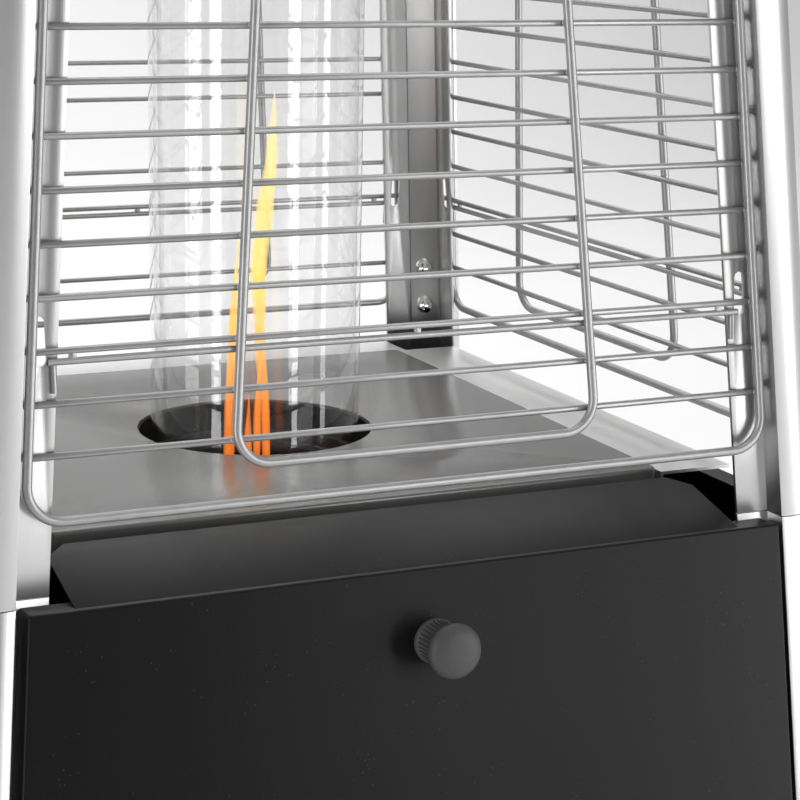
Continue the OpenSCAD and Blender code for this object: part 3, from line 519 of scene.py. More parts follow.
# %% Slots, level ends and broken edges
WIRE_PITCH, CROSS_COUNT, FIRST_CROSS = 0.02008, 57, 0.0249
GUARD_S0 = along_face(PLATE_Z + 0.0187)
CROSS_S0 = GUARD_S0 + FIRST_CROSS
HOOK_DROP, SLOT_IN, CROSS_R, FRAME_R = 0.0041, 0.0065, 0.0014, 0.002
HOOK_ROWS = (2, CROSS_COUNT - 4)
SLIDE_GAP, SLOT_W, SLOT_H = 0.00035, 0.005, 0.019


def hook_s(row):
    return CROSS_S0 + row * WIRE_PITCH - HOOK_DROP


def hook_x(s):
    return half_at(s * math.cos(FACE_TILT)) - REACH + SLOT_IN


def round_cutter(radius, depth, where=(0, 0, 0), sides=32, turn=(0, 0, 0)):
    clear_selection()
    bpy.ops.mesh.primitive_cylinder_add(vertices=sides, radius=radius, depth=depth,
                                        location=where, rotation=turn)
    cutter = named("round_cutter")
    bpy.ops.object.transform_apply(location=True, rotation=True, scale=True)
    return cutter


def slot_cutter(width, height, depth):
    cutter = round_cutter(width / 2, depth, (0, width / 2, 0))
    edit(cutter)
    choose("VERT", lambda v: v.co.y > width / 2 + 1e-5)
    bpy.ops.transform.translate(value=(0, height - width, 0))
    return done()


def level_ends(post, low, high):
    """Slides the end points of a leaning post along it until both ends are level."""
    axis = (post_matrix(0).to_3x3() @ Vector((0, 0, 1))).normalized()
    halfway = (low + high) / 2
    for point in post.data.vertices:
        end = high if point.co.z > halfway else low
        point.co += axis * ((end - point.co.z) / axis.z)


def post_piece(name, low, high, slots):
    post = extrusion(along_post(low), along_post(high))
    place(post, post_matrix(0))
    level_ends(post, low, high)
    if slots:
        for row in HOOK_ROWS:
            s = hook_s(row)
            for i, side in ((1, 1), (2, -1)):
                cutter = slot_cutter(SLOT_W, SLOT_H, 0.03)
                where = Matrix.Translation((side * hook_x(s), s - CROSS_R - SLIDE_GAP, 0))
                place(cutter, face_matrix(i) @ where)
                cut(post, cutter)
    outward(post)
    finish_with(post, "BEVEL", width=0.00022, segments=2, limit_method="ANGLE",
                angle_limit=math.radians(38))
    post.name = post.data.name = name
    return smooth(post, 30)


CORNERS = ("rear_right", "rear_left", "front_left", "front_right")
TUBE_FOOT = PLATE_Z - 0.021
TUBE_TOP = TUBE_FOOT + 1.257
HEAD_Z = TUBE_TOP - 0.014
SEAM_GAP = 0.0002
post_sets = (("lower", DECK_Z, SEAM_Z - SEAM_GAP, False),
             ("upper", SEAM_Z + SEAM_GAP, HEAD_Z - SLIDE_GAP, True))
for length, low, high, slots in post_sets:
    first = post_piece("post_pattern", low, high, slots)
    for i, corner in enumerate(CORNERS):
        post = copy_of(first, "post_" + length + "_shell_" + corner)
        place(post, Matrix.Rotation(math.pi / 2 * i, 4, "Z"))
        dress(post, "frame", "post_" + length + "_" + corner)
    print(length, "posts:", len(first.data.polygons), "faces each")
    bpy.data.objects.remove(first)

# %% [markdown]
# ## Glass tube
# The flame tube is drawn quartz with a thin wall and fire-polished rims. An open cylinder gets its
# wall from Solidify, and a bevel rounds both rims.

# %% Flame tube
TUBE_R, TUBE_WALL = 0.0508, 0.0022
clear_selection()
bpy.ops.mesh.primitive_cylinder_add(vertices=160, radius=TUBE_R, depth=TUBE_TOP - TUBE_FOOT,
                                    location=(0, 0, (TUBE_TOP + TUBE_FOOT) / 2),
                                    end_fill_type="NOTHING")
tube = named("flame_tube")
bpy.ops.object.transform_apply(location=True, rotation=True, scale=True)
edit(tube)
bpy.ops.mesh.select_all(action="SELECT")
bpy.ops.mesh.subdivide(number_cuts=1)
done()
finish_with(tube, "SOLIDIFY", thickness=TUBE_WALL, offset=-1)
outward(tube)
finish_with(tube, "BEVEL", width=0.0008, segments=3, limit_method="ANGLE",
            angle_limit=math.radians(60))
smooth(tube, 50)
dress(tube, "frame", "glass_tube")
print("tube wall", TUBE_WALL, "m, top at", round(TUBE_TOP, 3))

# %% [markdown]
# ## Burner plate
# The plate is one pressing: flat on top, with rounded corners, an edge that is folded down over a
# soft radius and a clean round opening. A cube gives the size; bevels give the corners and the
# fold, the open underside is deleted, Solidify gives the sheet its thickness and a cylinder cuts the
# opening.

# %% Burner plate
PLATE_HALF, PLATE_FRONT, PLATE_LIP, PLATE_SHEET = 0.1441, 0.1405, 0.009, 0.0015
OPENING_R = 0.05715
plate = bar((-PLATE_HALF, -PLATE_FRONT, PLATE_Z - PLATE_LIP), (PLATE_HALF, PLATE_HALF, PLATE_Z))
edit(plate)
choose("EDGE", lambda e: abs(e.verts[0].co.z - e.verts[1].co.z) > 0.001)
bpy.ops.mesh.bevel(offset=0.004, segments=6, affect="EDGES")
choose("FACE", lambda f: f.normal.z < -0.9)
bpy.ops.mesh.delete(type="ONLY_FACE")
choose("EDGE", lambda e: min(v.co.z for v in e.verts) > PLATE_Z - 0.0001)
bpy.ops.mesh.bevel(offset=0.0016, segments=4, affect="EDGES")
done()
finish_with(plate, "SOLIDIFY", thickness=PLATE_SHEET - 0.0001, offset=-1)
cut(plate, round_cutter(OPENING_R, 0.02, (0, 0, PLATE_Z), 128))
edit(plate)
choose("EDGE", lambda e: abs(middle(e).xy.length - OPENING_R) < 0.0003
       and min(v.co.z for v in e.verts) > PLATE_Z - 0.0002)
bpy.ops.mesh.bevel(offset=0.0004, segments=2, affect="EDGES")
plate = done()
plate.name = plate.data.name = "burner_plate_pressing"
smooth(plate, 32)
dress(plate, "frame", "burner_plate")
print("burner plate:", len(plate.data.polygons), "faces")

# %% [markdown]
# ## Wire guards
# A guard is welded from drawn wire: an outer frame with bent lower corners, a narrower loop inside
# it, fifty-seven cross wires behind them, and two rows of hooks. Each crossing is a resistance weld
# with a little bead. The frame is a circle that is extruded along its straights and spun round its
# bends; one cross wire and one bead are modelled and then copied.

# %% Bent frame wire
STANDOFF, BEND_R, WELD = 0.005, 0.014, 0.00015
CROSS_N = STANDOFF - FRAME_R - CROSS_R + WELD
GUARD_S1 = CROSS_S0 + (CROSS_COUNT - 1) * WIRE_PITCH + FIRST_CROSS / 2
GUARD_IN, LOOP_LEAN = 0.0188, LEAN * 0.96
WIRE_OVER, TIE_HALF, TIE_THICK, TIE_IN = 0.0008, 0.0015, 0.0016, 0.012
LOOP_S0 = GUARD_S0 + 0.015


def wire_x(s):
    return half_at(s * math.cos(FACE_TILT)) - GUARD_IN


def loop_x(s):
    return 0.5 * (half_at(PLATE_Z) - GUARD_IN) - (s - along_face(PLATE_Z)) * LOOP_LEAN


def bent_wire(x0, s0, s1, tilt):
    """Half a frame: from the middle of the bottom wire round the bend and up the side."""
    bend_x = x0 - BEND_R * (1 + math.sin(tilt)) / math.cos(tilt)
    clear_selection()
    bpy.ops.mesh.primitive_circle_add(vertices=14, radius=FRAME_R, fill_type="NOTHING",
                                      location=(0, s0, STANDOFF), rotation=(0, math.pi / 2, 0))
    wire = named("bent_wire")
    bpy.ops.object.transform_apply(location=True, rotation=True, scale=True)
    edit(wire)
    bpy.ops.mesh.select_all(action="SELECT")
    bpy.ops.mesh.extrude_edges_move(TRANSFORM_OT_translate={"value": (bend_x, 0, 0)})
    bpy.ops.mesh.spin(steps=12, angle=math.pi / 2 + tilt, center=(bend_x, s0 + BEND_R, STANDOFF),
                      axis=(0, 0, -1))
    end_s = s0 + BEND_R + BEND_R * math.sin(tilt)
    rise = s1 - end_s
    bpy.ops.mesh.extrude_edges_move(TRANSFORM_OT_translate={"value": (-rise * math.tan(tilt), rise, 0)})
    done()
    finish_with(wire, "MIRROR", use_axis=(True, False, False), merge_threshold=0.00005)
    return outward(wire)


LOOP_END = along_face(PLATE_Z) + loop_x(along_face(PLATE_Z)) / LOOP_LEAN - 0.03
print("guard foot", round(2 * wire_x(GUARD_S0), 3), "m wide, height", round(GUARD_S1 - GUARD_S0, 3))


# %% Straight wires, hooks and weld beads
def straight_wire(x0, x1, s, n, radius, sides=10):
    clear_selection()
    bpy.ops.mesh.primitive_cylinder_add(vertices=sides, radius=radius, depth=x1 - x0,
                                        rotation=(0, math.pi / 2, 0), location=((x0 + x1) / 2, s, n))
    wire = named("straight_wire")
    bpy.ops.object.transform_apply(location=True, rotation=True, scale=True)
    finish_with(wire, "BEVEL", width=radius * 0.3, segments=1, limit_method="ANGLE",
                angle_limit=math.radians(60))
    return wire


def hook_wire(s):
    """Across the guard, round into the slot and down behind the flange."""
    x, n = hook_x(s), CROSS_N
    leg = n + WALL + SLIDE_GAP + CROSS_R
    bend, tail = 0.0022, 0.012
    clear_selection()
    bpy.ops.mesh.primitive_circle_add(vertices=10, radius=CROSS_R, fill_type="NOTHING",
                                      location=(0, s, n), rotation=(0, math.pi / 2, 0))
    wire = named("hook_wire")
    bpy.ops.object.transform_apply(location=True, rotation=True, scale=True)
    edit(wire)
    bpy.ops.mesh.select_all(action="SELECT")
    bpy.ops.mesh.extrude_edges_move(TRANSFORM_OT_translate={"value": (x - bend, 0, 0)})
    bpy.ops.mesh.spin(steps=5, angle=math.pi / 2, center=(x - bend, s, n - bend), axis=(0, 1, 0))
    bpy.ops.mesh.extrude_edges_move(TRANSFORM_OT_translate={"value": (0, 0, 2 * bend - leg)})
    bpy.ops.mesh.spin(steps=5, angle=math.pi / 2, center=(x, s - bend, n - leg + bend), axis=(-1, 0, 0))
    bpy.ops.mesh.extrude_edges_move(TRANSFORM_OT_translate={"value": (0, bend - tail, 0)})
    bpy.ops.mesh.edge_face_add()
    done()
    finish_with(wire, "MIRROR", use_axis=(True, False, False), merge_threshold=0.00005)
    return outward(wire)


def weld_bead():
    clear_selection()
    bpy.ops.mesh.primitive_ico_sphere_add(subdivisions=2, radius=0.0015)
    bead = named("weld_bead")
    edit(bead)
    bpy.ops.mesh.select_all(action="SELECT")
    bpy.ops.transform.resize(value=(1.45, 1.05, 0.62))
    choose("VERT", lambda v: v.co.x > 0.0008)
    bpy.ops.transform.resize(value=(1.0, 0.8, 0.8))
    return done()


print("hook leg", round(CROSS_N + WALL + CROSS_R, 4))

# %% Weld one guard together
bead = weld_bead()
parts = [
    bent_wire(wire_x(GUARD_S0), GUARD_S0, GUARD_S1, EDGE_TILT),
    bent_wire(loop_x(LOOP_S0), LOOP_S0, LOOP_END, math.atan(LOOP_LEAN)),
    straight_wire(-wire_x(GUARD_S1) - FRAME_R, wire_x(GUARD_S1) + FRAME_R, GUARD_S1, STANDOFF,
                  FRAME_R, 14),
]
for k in range(CROSS_COUNT):
    s = CROSS_S0 + k * WIRE_PITCH
    reach = wire_x(s) + WIRE_OVER
    parts.append(straight_wire(-reach, reach, s, CROSS_N, CROSS_R))
    crossings = [wire_x(s)] + ([loop_x(s)] if s < LOOP_END else [])
    for x in crossings:
        for side in (-1, 1):
            spot = copy_of(bead, "bead")
            spot.data.transform(Matrix.Translation((side * x, s, CROSS_N + CROSS_R * 0.75)))
            parts.append(spot)
for row in HOOK_ROWS:
    s = hook_s(row)
    parts.append(hook_wire(s))
    for share in (-1, 0, 1):
        x = share * (hook_x(s) - TIE_IN)
        tie = bar((x - TIE_HALF, s, CROSS_N - TIE_THICK / 2),
                  (x + TIE_HALF, s + HOOK_DROP, CROSS_N + TIE_THICK / 2))
        finish_with(tie, "BEVEL", width=0.0005, segments=2)
        parts.append(tie)
guard = joined("guard_pattern", *parts)
smooth(guard, 45)
bpy.data.objects.remove(bead)
print("one guard:", len(guard.data.polygons), "faces from", len(parts), "wires and beads")

# %% Hang the four guards
for i, side in enumerate(("front", "right", "rear", "left")):
    wires = copy_of(guard, "guard_" + side + "_wires")
    place(wires, face_matrix(i))
    dress(wires, "guard_" + side, "guard_" + side)
bpy.data.objects.remove(guard)
print("four guards hung")

# %% [markdown]
# ## Cabinet door
# The door is a shallow pan of sheet steel. It is drawn flat as a plane that narrows towards the
# top, its rim is folded back, the folds are bevelled and Solidify gives it thickness. A separate
# strip becomes the flap that lies over the controls: its rear corners are cut off, and a narrow
# fold joins it to the door.

# %% Door pan
DOOR_TOP, DOOR_LOW, DOOR_PROUD, SHEET = SEAM_Z - 0.003, DECK_Z + 0.012, 0.0148, 0.0012
PANEL_IN, RIM_GAP = 0.0185, 0.0004


def sheet_pan(name, low, high, proud, radius=0.0012):
    """A pan with its face towards +z in the flat drawing of a face."""
    s0, s1 = along_face(low), along_face(high)
    wide, narrow = half_at(low) - PANEL_IN, half_at(high) - PANEL_IN
    clear_selection()
    bpy.ops.mesh.primitive_plane_add(size=1, location=(0, (s0 + s1) / 2, proud))
    pan = named(name)
    edit(pan)
    bpy.ops.mesh.select_all(action="SELECT")
    bpy.ops.transform.resize(value=(2 * wide, s1 - s0, 1))
    done()
    bpy.ops.object.transform_apply(location=True, rotation=True, scale=True)
    edit(pan)
    choose("VERT", lambda v: v.co.y > (s0 + s1) / 2)
    bpy.ops.transform.resize(value=(narrow / wide, 1, 1))
    choose("EDGE", lambda e: True)
    bpy.ops.mesh.extrude_edges_move(TRANSFORM_OT_translate={"value": (0, 0, RIM_GAP - proud)})
    choose("EDGE", lambda e: max(v.co.z for v in e.verts) > proud - 1e-5)
    bpy.ops.mesh.bevel(offset=radius, segments=4, affect="EDGES")
    done()
    outward(pan)
    finish_with(pan, "SOLIDIFY", thickness=SHEET, offset=-1, use_even_offset=True)
    return pan


pan = sheet_pan("door_pan", DOOR_LOW, DOOR_TOP, DOOR_PROUD)
HINGE_HALF, HINGE_IN, EAR_W = 0.192, 0.0045, 0.003
HINGE_Y = half_at(DOOR_LOW) + HINGE_IN
place(pan, face_matrix(0))
for side in (-1, 1):
    edges = sorted((side * (HINGE_HALF - 0.013), side * (HINGE_HALF + 0.005)))
    notch = bar((edges[0], -HINGE_Y - 0.009, DOOR_LOW - 0.005),
                (edges[1], -HINGE_Y + 0.007, DOOR_LOW + 0.005))
    cut(pan, notch, folded=True)
print("door pan:", [round(v, 3) for v in pan.dimensions])

# %% Flap, ears and the whole door
FLAP_HALF, FLAP_DEPTH, FLAP_CUT, FLAP_SLOPE = 0.150, 0.052, 0.009, math.radians(14)
top_y = half_at(DOOR_TOP) + DOOR_PROUD
clear_selection()
bpy.ops.mesh.primitive_plane_add(size=1, location=(0, FLAP_DEPTH / 2 + 0.0008, -0.0001))
flap = named("door_flap")
flap.scale = (2 * FLAP_HALF, FLAP_DEPTH - 0.0016, 1)
bpy.ops.object.transform_apply(location=True, rotation=True, scale=True)
edit(flap)
choose("VERT", lambda v: v.co.y > FLAP_DEPTH / 2)
bpy.ops.mesh.bevel(offset=FLAP_CUT, affect="VERTICES")
choose("EDGE", lambda e: max(v.co.y for v in e.verts) < 0.001)
bpy.ops.mesh.extrude_edges_move(TRANSFORM_OT_translate={"value": (0, -0.0004, -0.0030)})
choose("EDGE", lambda e: all(abs(v.co.y - 0.0016) < 0.001 and v.co.z > -0.001 for v in e.verts))
bpy.ops.mesh.bevel(offset=0.0010, segments=3, affect="EDGES")
done()
finish_with(flap, "SOLIDIFY", thickness=SHEET, offset=-1)
finish_with(flap, "BEVEL", width=0.0002, segments=2, limit_method="ANGLE",
            angle_limit=math.radians(60))
outward(flap)
place(flap, Matrix.Translation((0, -top_y, DOOR_TOP)) @ Matrix.Rotation(FLAP_SLOPE, 4, "X"))
ears = []
for side in (-1, 1):
    hinge, across = (side * HINGE_HALF, -HINGE_Y, DOOR_LOW), (0, math.pi / 2, 0)
    ear = round_cutter(0.0065, EAR_W, hinge, 40, across)
    reach = DOOR_PROUD - HINGE_IN - SHEET / 2
    web = bar((side * HINGE_HALF - EAR_W / 2, -HINGE_Y - reach, DOOR_LOW),
              (side * HINGE_HALF + EAR_W / 2, -HINGE_Y, DOOR_LOW + 0.014))
    cut(ear, web, "UNION")
    ears.append(cut(ear, round_cutter(0.00308, 2 * EAR_W, hinge, 40, across)))
door = joined("door_shell", pan, flap, *ears)
smooth(door, 32)
dress(door, "door", "front_door")
print("door:", len(door.data.polygons), "faces")

# %% [markdown]
# ## Door pull
# The pull is a moulded mushroom with a ribbed neck. It starts as a short cylinder whose top face is
# extruded and resized step by step, which is how a turned shape is built by hand, and every second
# face of the neck is pushed in to leave the ribs.

# %% Mushroom pull
PULL_R = 0.0115
PULL_S = along_face(DOOR_TOP) - 0.031
now = 0.84
pull = round_cutter(PULL_R * now, 0.0008, (0, 0, 0.0004), 64)
pull.name = pull.data.name = "door_pull_knob"
edit(pull)
choose("FACE", lambda f: f.normal.z > 0.9)
profile = ((0.0008, 0.84), (0.0006, 0.80), (0.0108, 0.78), (0.0012, 0.84), (0.0014, 0.93),
           (0.0012, 0.985), (0.0012, 1.0), (0.0012, 0.985), (0.0012, 0.93), (0.0010, 0.82),
           (0.0009, 0.66), (0.0006, 0.46), (0.0003, 0.22))
for rise, share in profile:
    bpy.ops.mesh.extrude_region_move(TRANSFORM_OT_translate={"value": (0, 0, rise)})
    bpy.ops.transform.resize(value=(share / now, share / now, 1))
    now = share


def groove(face):
    """Every second face round the neck."""
    spot = face.calc_center_median()
    turn = math.degrees(math.atan2(spot.y, spot.x)) / 5.625
    return 0.004 < spot.z < 0.011 and abs(face.normal.z) < 0.3 and round(turn - 0.5) % 2 == 0


choose("FACE", groove)
bpy.ops.mesh.inset(thickness=0.00012, use_individual=True)
bpy.ops.transform.shrink_fatten(value=-0.00045)
done()
finish_with(pull, "BEVEL", width=0.0001, segments=1, limit_method="ANGLE", angle_limit=math.radians(45))
smooth(pull, 40)
cut(pull, round_cutter(0.002, 0.030, (0, 0, -0.001), 24))
place(pull, face_matrix(0) @ Matrix.Translation((0, PULL_S, DOOR_PROUD)))
dress(pull, "door", "door_pull")
print("pull:", [round(v, 4) for v in pull.dimensions])

# %% [markdown]
# ## Side and rear panels
# The other three sides are closed by pans like the door's, held by two screws at each edge. They use
# the same drawing as the door, set closer to the posts. The rear one has six long vents, cut with
# the same round-ended cutter as the hook slots.

# %% Panels
PANEL_LOW, PANEL_PROUD = DECK_Z + 0.004, 0.011
SCREW_ROWS = (DECK_Z + 0.040, DOOR_TOP - 0.062)


def panel_screw_x(z):
    return half_at(z) - REACH + SLOT_IN + 0.001


for i, side_name in ((1, "right"), (2, "rear"), (3, "left")):
    panel = sheet_pan("panel_sheet_" + side_name, PANEL_LOW, DOOR_TOP, PANEL_PROUD)
    holes = [round_cutter(0.00285, 0.01, (side * panel_screw_x(z), along_face(z), PANEL_PROUD))
             for z in SCREW_ROWS for side in (-1, 1)]
    if side_name == "rear":
        for k in range(6):
            vent = slot_cutter(0.007, 0.120, 0.01)
            where = Matrix.Translation((0.060, along_face(0.160) + 0.022 * k, PANEL_PROUD))
            holes.append(place(vent, where @ Matrix.Rotation(math.pi / 2, 4, "Z")))
    cut(panel, joined("hole_cutters", *holes), folded=True)
    place(panel, face_matrix(i))
    smooth(panel, 32)
    dress(panel, "frame", "panel_" + side_name)
    print(panel.name, len(panel.data.polygons), "faces")

# %% [markdown]
# ## Base, head and cap
# These three are the same kind of pressing: a square sheet with rounded corners and an edge folded
# down over a soft radius. One helper makes such a tray from a cube, and round and square cutters
# make the openings of each.

# %% Folded trays
def ring_point(radius, angle):
    return radius * math.cos(angle), radius * math.sin(angle)


def folded_tray(name, half, corner, low, top, sheet, fold=0.003):
    tray = bar((-half, -half, low), (half, half, top))
    tray.name = tray.data.name = name
    edit(tray)
    choose("EDGE", lambda e: abs(e.verts[0].co.z - e.verts[1].co.z) > 0.001)
    bpy.ops.mesh.bevel(offset=corner, segments=8, affect="EDGES")
    choose("FACE", lambda f: f.normal.z < -0.9)
    bpy.ops.mesh.delete(type="ONLY_FACE")
    choose("EDGE", lambda e: min(v.co.z for v in e.verts) > top - 0.0001)
    bpy.ops.mesh.bevel(offset=fold, segments=5, affect="EDGES")
    done()
    return finish_with(tray, "SOLIDIFY", thickness=sheet - 0.0001, offset=-1, use_even_offset=True)


WHEEL_R, WHEEL_W, WHEEL_X, BASE_OUT = 0.034, 0.026, 0.150, BASE_HALF + 0.0185
AXLE = Vector((0, BASE_OUT - WHEEL_R - 0.001, 0.002 + WHEEL_R))
ANCHOR, VENT_RING = BASE_OUT - 0.078, 0.080
base = folded_tray("base_pressing", BASE_OUT, 0.008, 0.025, DECK_Z, 0.002)
arch = WHEEL_W / 2 + 0.004
holes = [bar((side * WHEEL_X - arch, BASE_OUT - 0.020, 0.020),
             (side * WHEEL_X + arch, BASE_OUT + 0.020, AXLE.z + WHEEL_R + 0.003))
         for side in (-1, 1)]
holes += [round_cutter(0.0045, 0.02, (x * ANCHOR, y * ANCHOR, DECK_Z))
          for x in (-1, 1) for y in (-1, 1)]
holes += [round_cutter(0.008, 0.02, (*ring_point(VENT_RING, k * math.pi / 4), DECK_Z))
          for k in range(8)]
cut(base, joined("hole_cutters", *holes), folded=True)
smooth(base, 32)
dress(base, "frame", "base_tray")
print("base:", len(base.data.polygons), "faces")

# %% Head pan and top cap
SCREEN_R = TUBE_R + 0.012
STUD_HALF = (SCREEN_R + 0.016) / math.sqrt(2)
CAP_Z = HEAD_Z + 0.002 + 0.118 + 0.00035
head = folded_tray("head_pressing", half_at(HEAD_Z) - NOSE_IN + NOSE_R + 0.004, 0.014,
                   HEAD_Z - 0.026, HEAD_Z + 0.002, 0.002)
cap = folded_tray("cap_pressing", 0.118, 0.012, CAP_Z - 0.012, CAP_Z + 0.002, 0.002)
for tray, z in ((head, HEAD_Z), (cap, CAP_Z)):
    holes = [round_cutter(0.0033, 0.02, (x * STUD_HALF, y * STUD_HALF, z))
             for x in (-1, 1) for y in (-1, 1)]
    if tray is head:
        holes.append(round_cutter(TUBE_R + 0.0022, 0.02, (0, 0, z), 128))
    cut(tray, joined("hole_cutters", *holes), folded=True)
    smooth(tray, 32)
dress(head, "frame", "head_pan")
dress(cap, "frame", "top_cap")
print("head and cap:", len(head.data.polygons), len(cap.data.polygons), "faces")

# %% [markdown]
# ## Wheels
# Each wheel is a moulded disc with a rounded tread, a deep dish on both sides, a hub and five holes.
# A cylinder's rim is bevelled, and each side face is inset, pushed in, inset again and drawn out.

# %% Wheels
DISH, SPOKE_RING = 0.010, 0.0190
tyre = round_cutter(WHEEL_R, WHEEL_W, sides=80)
edit(tyre)
choose("EDGE", lambda e: abs(e.verts[0].co.z - e.verts[1].co.z) < 1e-6)
bpy.ops.mesh.bevel(offset=0.003, segments=4, affect="EDGES")
for side in (-1, 1):
    choose("FACE", lambda f: f.normal.z * side > 0.99 and f.calc_area() > 0.001)
    bpy.ops.mesh.inset(thickness=0.0065)
    bpy.ops.mesh.extrude_region_move(TRANSFORM_OT_translate={"value": (0, 0, -side * DISH)})
    bpy.ops.transform.resize(value=(0.965, 0.965, 1))
    bpy.ops.mesh.inset(thickness=0.0104)
    bpy.ops.mesh.extrude_region_move(TRANSFORM_OT_translate={"value": (0, 0, side * DISH)})
done()
holes = [round_cutter(0.00508, 0.05)]
holes += [round_cutter(0.0033, 0.05, (*ring_point(SPOKE_RING, k * math.tau / 5), 0), 24)
          for k in range(5)]
cut(tyre, joined("hole_cutters", *holes))
finish_with(tyre, "BEVEL", width=0.0004, segments=2, limit_method="ANGLE",
            angle_limit=math.radians(50))
smooth(tyre, 35)
for side, name in ((-1, "wheel_left"), (1, "wheel_right")):
    wheel = copy_of(tyre, name + "_moulding")
    hub = Matrix.Translation((side * WHEEL_X, AXLE.y, AXLE.z))
    place(wheel, hub @ Matrix.Rotation(math.pi / 2, 4, "Y"))
    dress(wheel, name, name)
print("wheels:", len(tyre.data.polygons), "faces each")
bpy.data.objects.remove(tyre)

# %% [markdown]
# ## Control knob
# Behind the door sits the gas control: a fluted plastic knob with a skirt and a raised pointer. The
# top face of a short cylinder is inset and drawn out to make the grip, and a ring of small
# cylinders cuts the flutes.

# %% Knob
KNOB_R, KNOB_X, CONTROL_Z = 0.023, -0.042, PLATE_Z - 0.082
KNOB_BACK = PLATE_FRONT + 0.0015
knob = round_cutter(KNOB_R, 0.004, (0, 0, 0.002), 96)
edit(knob)
choose("FACE", lambda f: f.normal.z > 0.9)
bpy.ops.mesh.inset(thickness=0.003)
bpy.ops.mesh.extrude_region_move(TRANSFORM_OT_translate={"value": (0, 0, 0.016)})
bpy.ops.transform.resize(value=(0.965, 0.965, 1))
done()
flute_ring = KNOB_R - 0.0012
flutes = [round_cutter(0.003, 0.030, (*ring_point(flute_ring, math.radians(30 * k + 15)), 0.0192), 20)
          for k in range(12)]
cut(knob, joined("flute_cutters", *flutes))
cut(knob, bar((-0.002, 0.002, 0.010), (0.002, KNOB_R - 0.0042, 0.0212)), "UNION")
finish_with(knob, "BEVEL", width=0.0005, segments=2, limit_method="ANGLE",
            angle_limit=math.radians(40))
cut(knob, round_cutter(0.00408, 0.017))
smooth(knob, 35)
place(knob, Matrix.Translation((KNOB_X, -KNOB_BACK, CONTROL_Z))
      @ Matrix.Rotation(math.pi / 2, 4, "X"))
knob.name = knob.data.name = "control_knob_moulding"
dress(knob, "knob", "control_knob")
print("knob:", [round(v, 4) for v in knob.dimensions])

# %% [markdown]
# ## The studio
# A product like this is photographed on white with large soft lights to the left, right and above.
# Bright metal only looks bright because it mirrors those lights, so their places matter more than
# their strength. The camera stands in front on the left, a little above the burner plate.

# %% Camera
CAMERA_AT = Vector((-0.36746, -0.9477, 1.02956))
yaw, pitch, roll = math.radians(25.188), math.radians(13.067), math.radians(-1.0715)
forward = Vector((math.sin(yaw) * math.cos(pitch), math.cos(yaw) * math.cos(pitch), -math.sin(pitch)))
level = Vector((math.cos(yaw), -math.sin(yaw), 0))
down = forward.cross(level)
right = level * math.cos(roll) + down * math.sin(roll)
up = -(down * math.cos(roll) - level * math.sin(roll))
lens = bpy.data.cameras.new("camera")
lens.sensor_width = 36.0
lens.lens = 95.84
camera = bpy.data.objects.new("camera", lens)
bpy.context.scene.collection.objects.link(camera)
looking = Matrix((right, up, -forward)).transposed().to_4x4()
camera.matrix_world = Matrix.Translation(CAMERA_AT) @ looking
bpy.context.scene.camera = camera
print("camera looks along", [round(v, 3) for v in forward])

# %% Floor and backdrop
clear_selection()
bpy.ops.mesh.primitive_plane_add(size=60, location=(0, -22, 0))
floor = named("studio_floor")
bpy.ops.object.transform_apply(location=True, rotation=True, scale=True)
edit(floor)
choose("EDGE", lambda e: middle(e).y > 7.9)
bpy.ops.mesh.extrude_region_move(TRANSFORM_OT_translate={"value": (0, 0, 7)})
choose("EDGE", lambda e: abs(middle(e).y - 8) < 0.01 and abs(middle(e).z) < 0.01)
bpy.ops.mesh.bevel(offset=2.5, segments=12, affect="EDGES")
done()
smooth(floor, 60)
floor_finish = Finish("studio_paper", Roughness=0.9, Specular_IOR_Level=0.1)
paper = floor_finish.noise(3.0, 3.0)
floor_finish.set(Base_Color=floor_finish.mixed(paper, grey(0.80), grey(0.84)))
floor.data.materials.append(floor_finish.material)
print("floor made")


# %% Lights
def softbox(name, where, aim, width, height, power, warmth=1.0):
    lamp = bpy.data.lights.new(name, "AREA")
    lamp.shape = "RECTANGLE"
    lamp.size, lamp.size_y = width, height
    lamp.energy = power
    lamp.color = (1.0, warmth, warmth * warmth)
    thing = bpy.data.objects.new(name, lamp)
    bpy.context.scene.collection.objects.link(thing)
    thing.location = where
    thing.rotation_euler = (Vector(aim) - Vector(where)).to_track_quat("-Z", "Y").to_euler()
    return thing


softbox("left_softbox", (-2.27, -1.06, 1.06), (0, 0, 1.06), 0.50, 2.10, 20)
softbox("right_softbox", (1.02, -2.38, 1.30), (0, 0, 1.30), 0.30, 1.95, 12)
softbox("front_panel", (1.72, -2.15, 1.00), (0.1, 0, 1.00), 1.00, 1.90, 5)
softbox("side_softbox", (2.05, -1.45, 0.80), (0, 0, 0.80), 0.80, 1.60, 18)
softbox("top_softbox", (0.2, 0.3, 3.9), (0, 0, 0.6), 2.0, 2.0, 40)
softbox("back_light", (0.0, 4.6, 4.6), (0, 4.6, 0), 7.0, 5.5, 250)
world = bpy.data.worlds.new("studio_air")
world.use_nodes = True
air = world.node_tree
direction = air.nodes.new("ShaderNodeTexCoord")
split = air.nodes.new("ShaderNodeSeparateXYZ")
ramp = air.nodes.new("ShaderNodeMapRange")
air.links.new(direction.outputs["Generated"], split.inputs[0])
air.links.new(split.outputs[1], ramp.inputs["Value"])
for key, value in (("From Min", -1.0), ("From Max", 1.0), ("To Min", 0.24), ("To Max", 0.85)):
    ramp.inputs[key].default_value = value
air.links.new(ramp.outputs[0], air.nodes["Background"].inputs["Strength"])
air.nodes["Background"].inputs["Color"].default_value = (1, 1, 1, 1)
bpy.context.scene.world = world
bpy.context.scene.view_settings.view_transform = "Standard"
print("lights made")

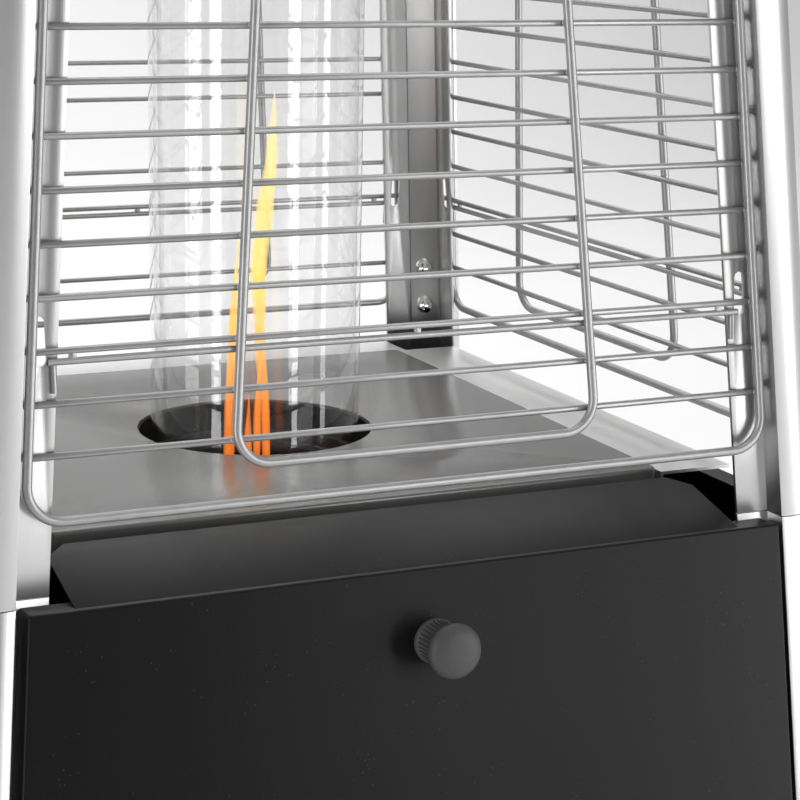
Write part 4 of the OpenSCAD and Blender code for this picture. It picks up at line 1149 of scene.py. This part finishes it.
# %% [markdown]
# The burner is lit. A flame isn't part of the heater, so it is a stage object: slim tongues, each a
# sphere that is drawn out along a wandering path. Their finish gives off light, runs from orange
# at the foot to yellow at the tip, and thins out towards the outline.

# %% Flame
flame_finish = Finish("flame_glow")
ends = flame_finish.tree.nodes["Material Output"]
height = flame_finish.node("ShaderNodeSeparateXYZ", None, 2, Vector=flame_finish.place)
share = flame_finish.node("ShaderNodeMapRange", None, 0, Value=height,
                          **{"From Min": PLATE_Z - 0.035, "From Max": PLATE_Z + 0.145})
glow = flame_finish.node("ShaderNodeValToRGB", {"stops": (
    (0.0, (0.60, 0.10, 0.01, 1)), (0.25, (1.0, 0.26, 0.03, 1)), (0.42, (1.0, 0.52, 0.10, 1)),
    (0.62, (1.0, 0.72, 0.16, 1)), (1.0, (1.0, 0.80, 0.34, 1)))}, 0, Fac=share)
wisps = flame_finish.noise(1.0, 3.0, flame_finish.stretched(210, 210, 24))
rim = flame_finish.node("ShaderNodeLayerWeight", None, 1, Blend=0.5)
core = (1 - rim).maths("POWER", 1 - rim, 1.2)
body = core * (wisps.above(0.30, 0.34) * 0.55 + 0.35)
emit = flame_finish.tree.nodes.new("ShaderNodeEmission")
clear = flame_finish.tree.nodes.new("ShaderNodeBsdfTransparent")
mixer = flame_finish.tree.nodes.new("ShaderNodeMixShader")
flame_finish.feed(emit.inputs["Color"], glow)
emit.inputs["Strength"].default_value = 1.35
flame_finish.feed(mixer.inputs[0], body.maths("MINIMUM", body, 0.9))
flame_finish.tree.links.new(clear.outputs[0], mixer.inputs[1])
flame_finish.tree.links.new(emit.outputs[0], mixer.inputs[2])
flame_finish.tree.links.new(mixer.outputs[0], ends.inputs["Surface"])


def tongue(name, low, high, path):
    """A spun tongue whose path lists share of the height, sideways place and half-width."""
    clear_selection()
    bpy.ops.mesh.primitive_uv_sphere_add(segments=20, ring_count=44, radius=1)
    flame = named(name)
    for point in flame.data.vertices:
        ring = math.hypot(point.co.x, point.co.y) or 1
        share = (point.co.z + 1) / 2
        for (t0, side0, wide0), (t1, side1, wide1) in zip(path, path[1:]):
            if t0 <= share <= t1:
                k = (share - t0) / (t1 - t0)
                k = k * k * (3 - 2 * k)
                side, wide = side0 + (side1 - side0) * k, wide0 + (wide1 - wide0) * k
        wide *= min(1.0, ring * 3)
        point.co = Vector((side * math.cos(yaw) + point.co.x / ring * wide,
                           -side * math.sin(yaw) + point.co.y / ring * wide,
                           low + (high - low) * share))
    smooth(flame, 80)
    flame.data.materials.append(flame_finish.material)
    flame.visible_shadow = False
    return flame


tongue("flame_tall", PLATE_Z - 0.040, PLATE_Z + 0.163, (
    (0, 0.0062, 0.0016), (0.2, 0.0052, 0.0022), (0.42, 0.0022, 0.0030), (0.58, 0.0014, 0.0042),
    (0.72, 0.0044, 0.0044), (0.86, 0.0076, 0.0030), (1, 0.0088, 0.0006)))
tongue("flame_left", PLATE_Z - 0.040, PLATE_Z + 0.095, (
    (0, -0.0138, 0.0022), (0.3, -0.0124, 0.0030), (0.6, -0.0112, 0.0026), (1, -0.0085, 0.0004)))
tongue("flame_low", PLATE_Z - 0.040, PLATE_Z + 0.016, (
    (0, -0.0050, 0.0016), (0.5, -0.0036, 0.0022), (1, -0.0030, 0.0004)))
tongue("flame_middle", PLATE_Z - 0.040, PLATE_Z + 0.040, (
    (0, 0.0004, 0.0012), (0.5, 0.0010, 0.0020), (1, 0.0024, 0.0004)))
print("flame lit")
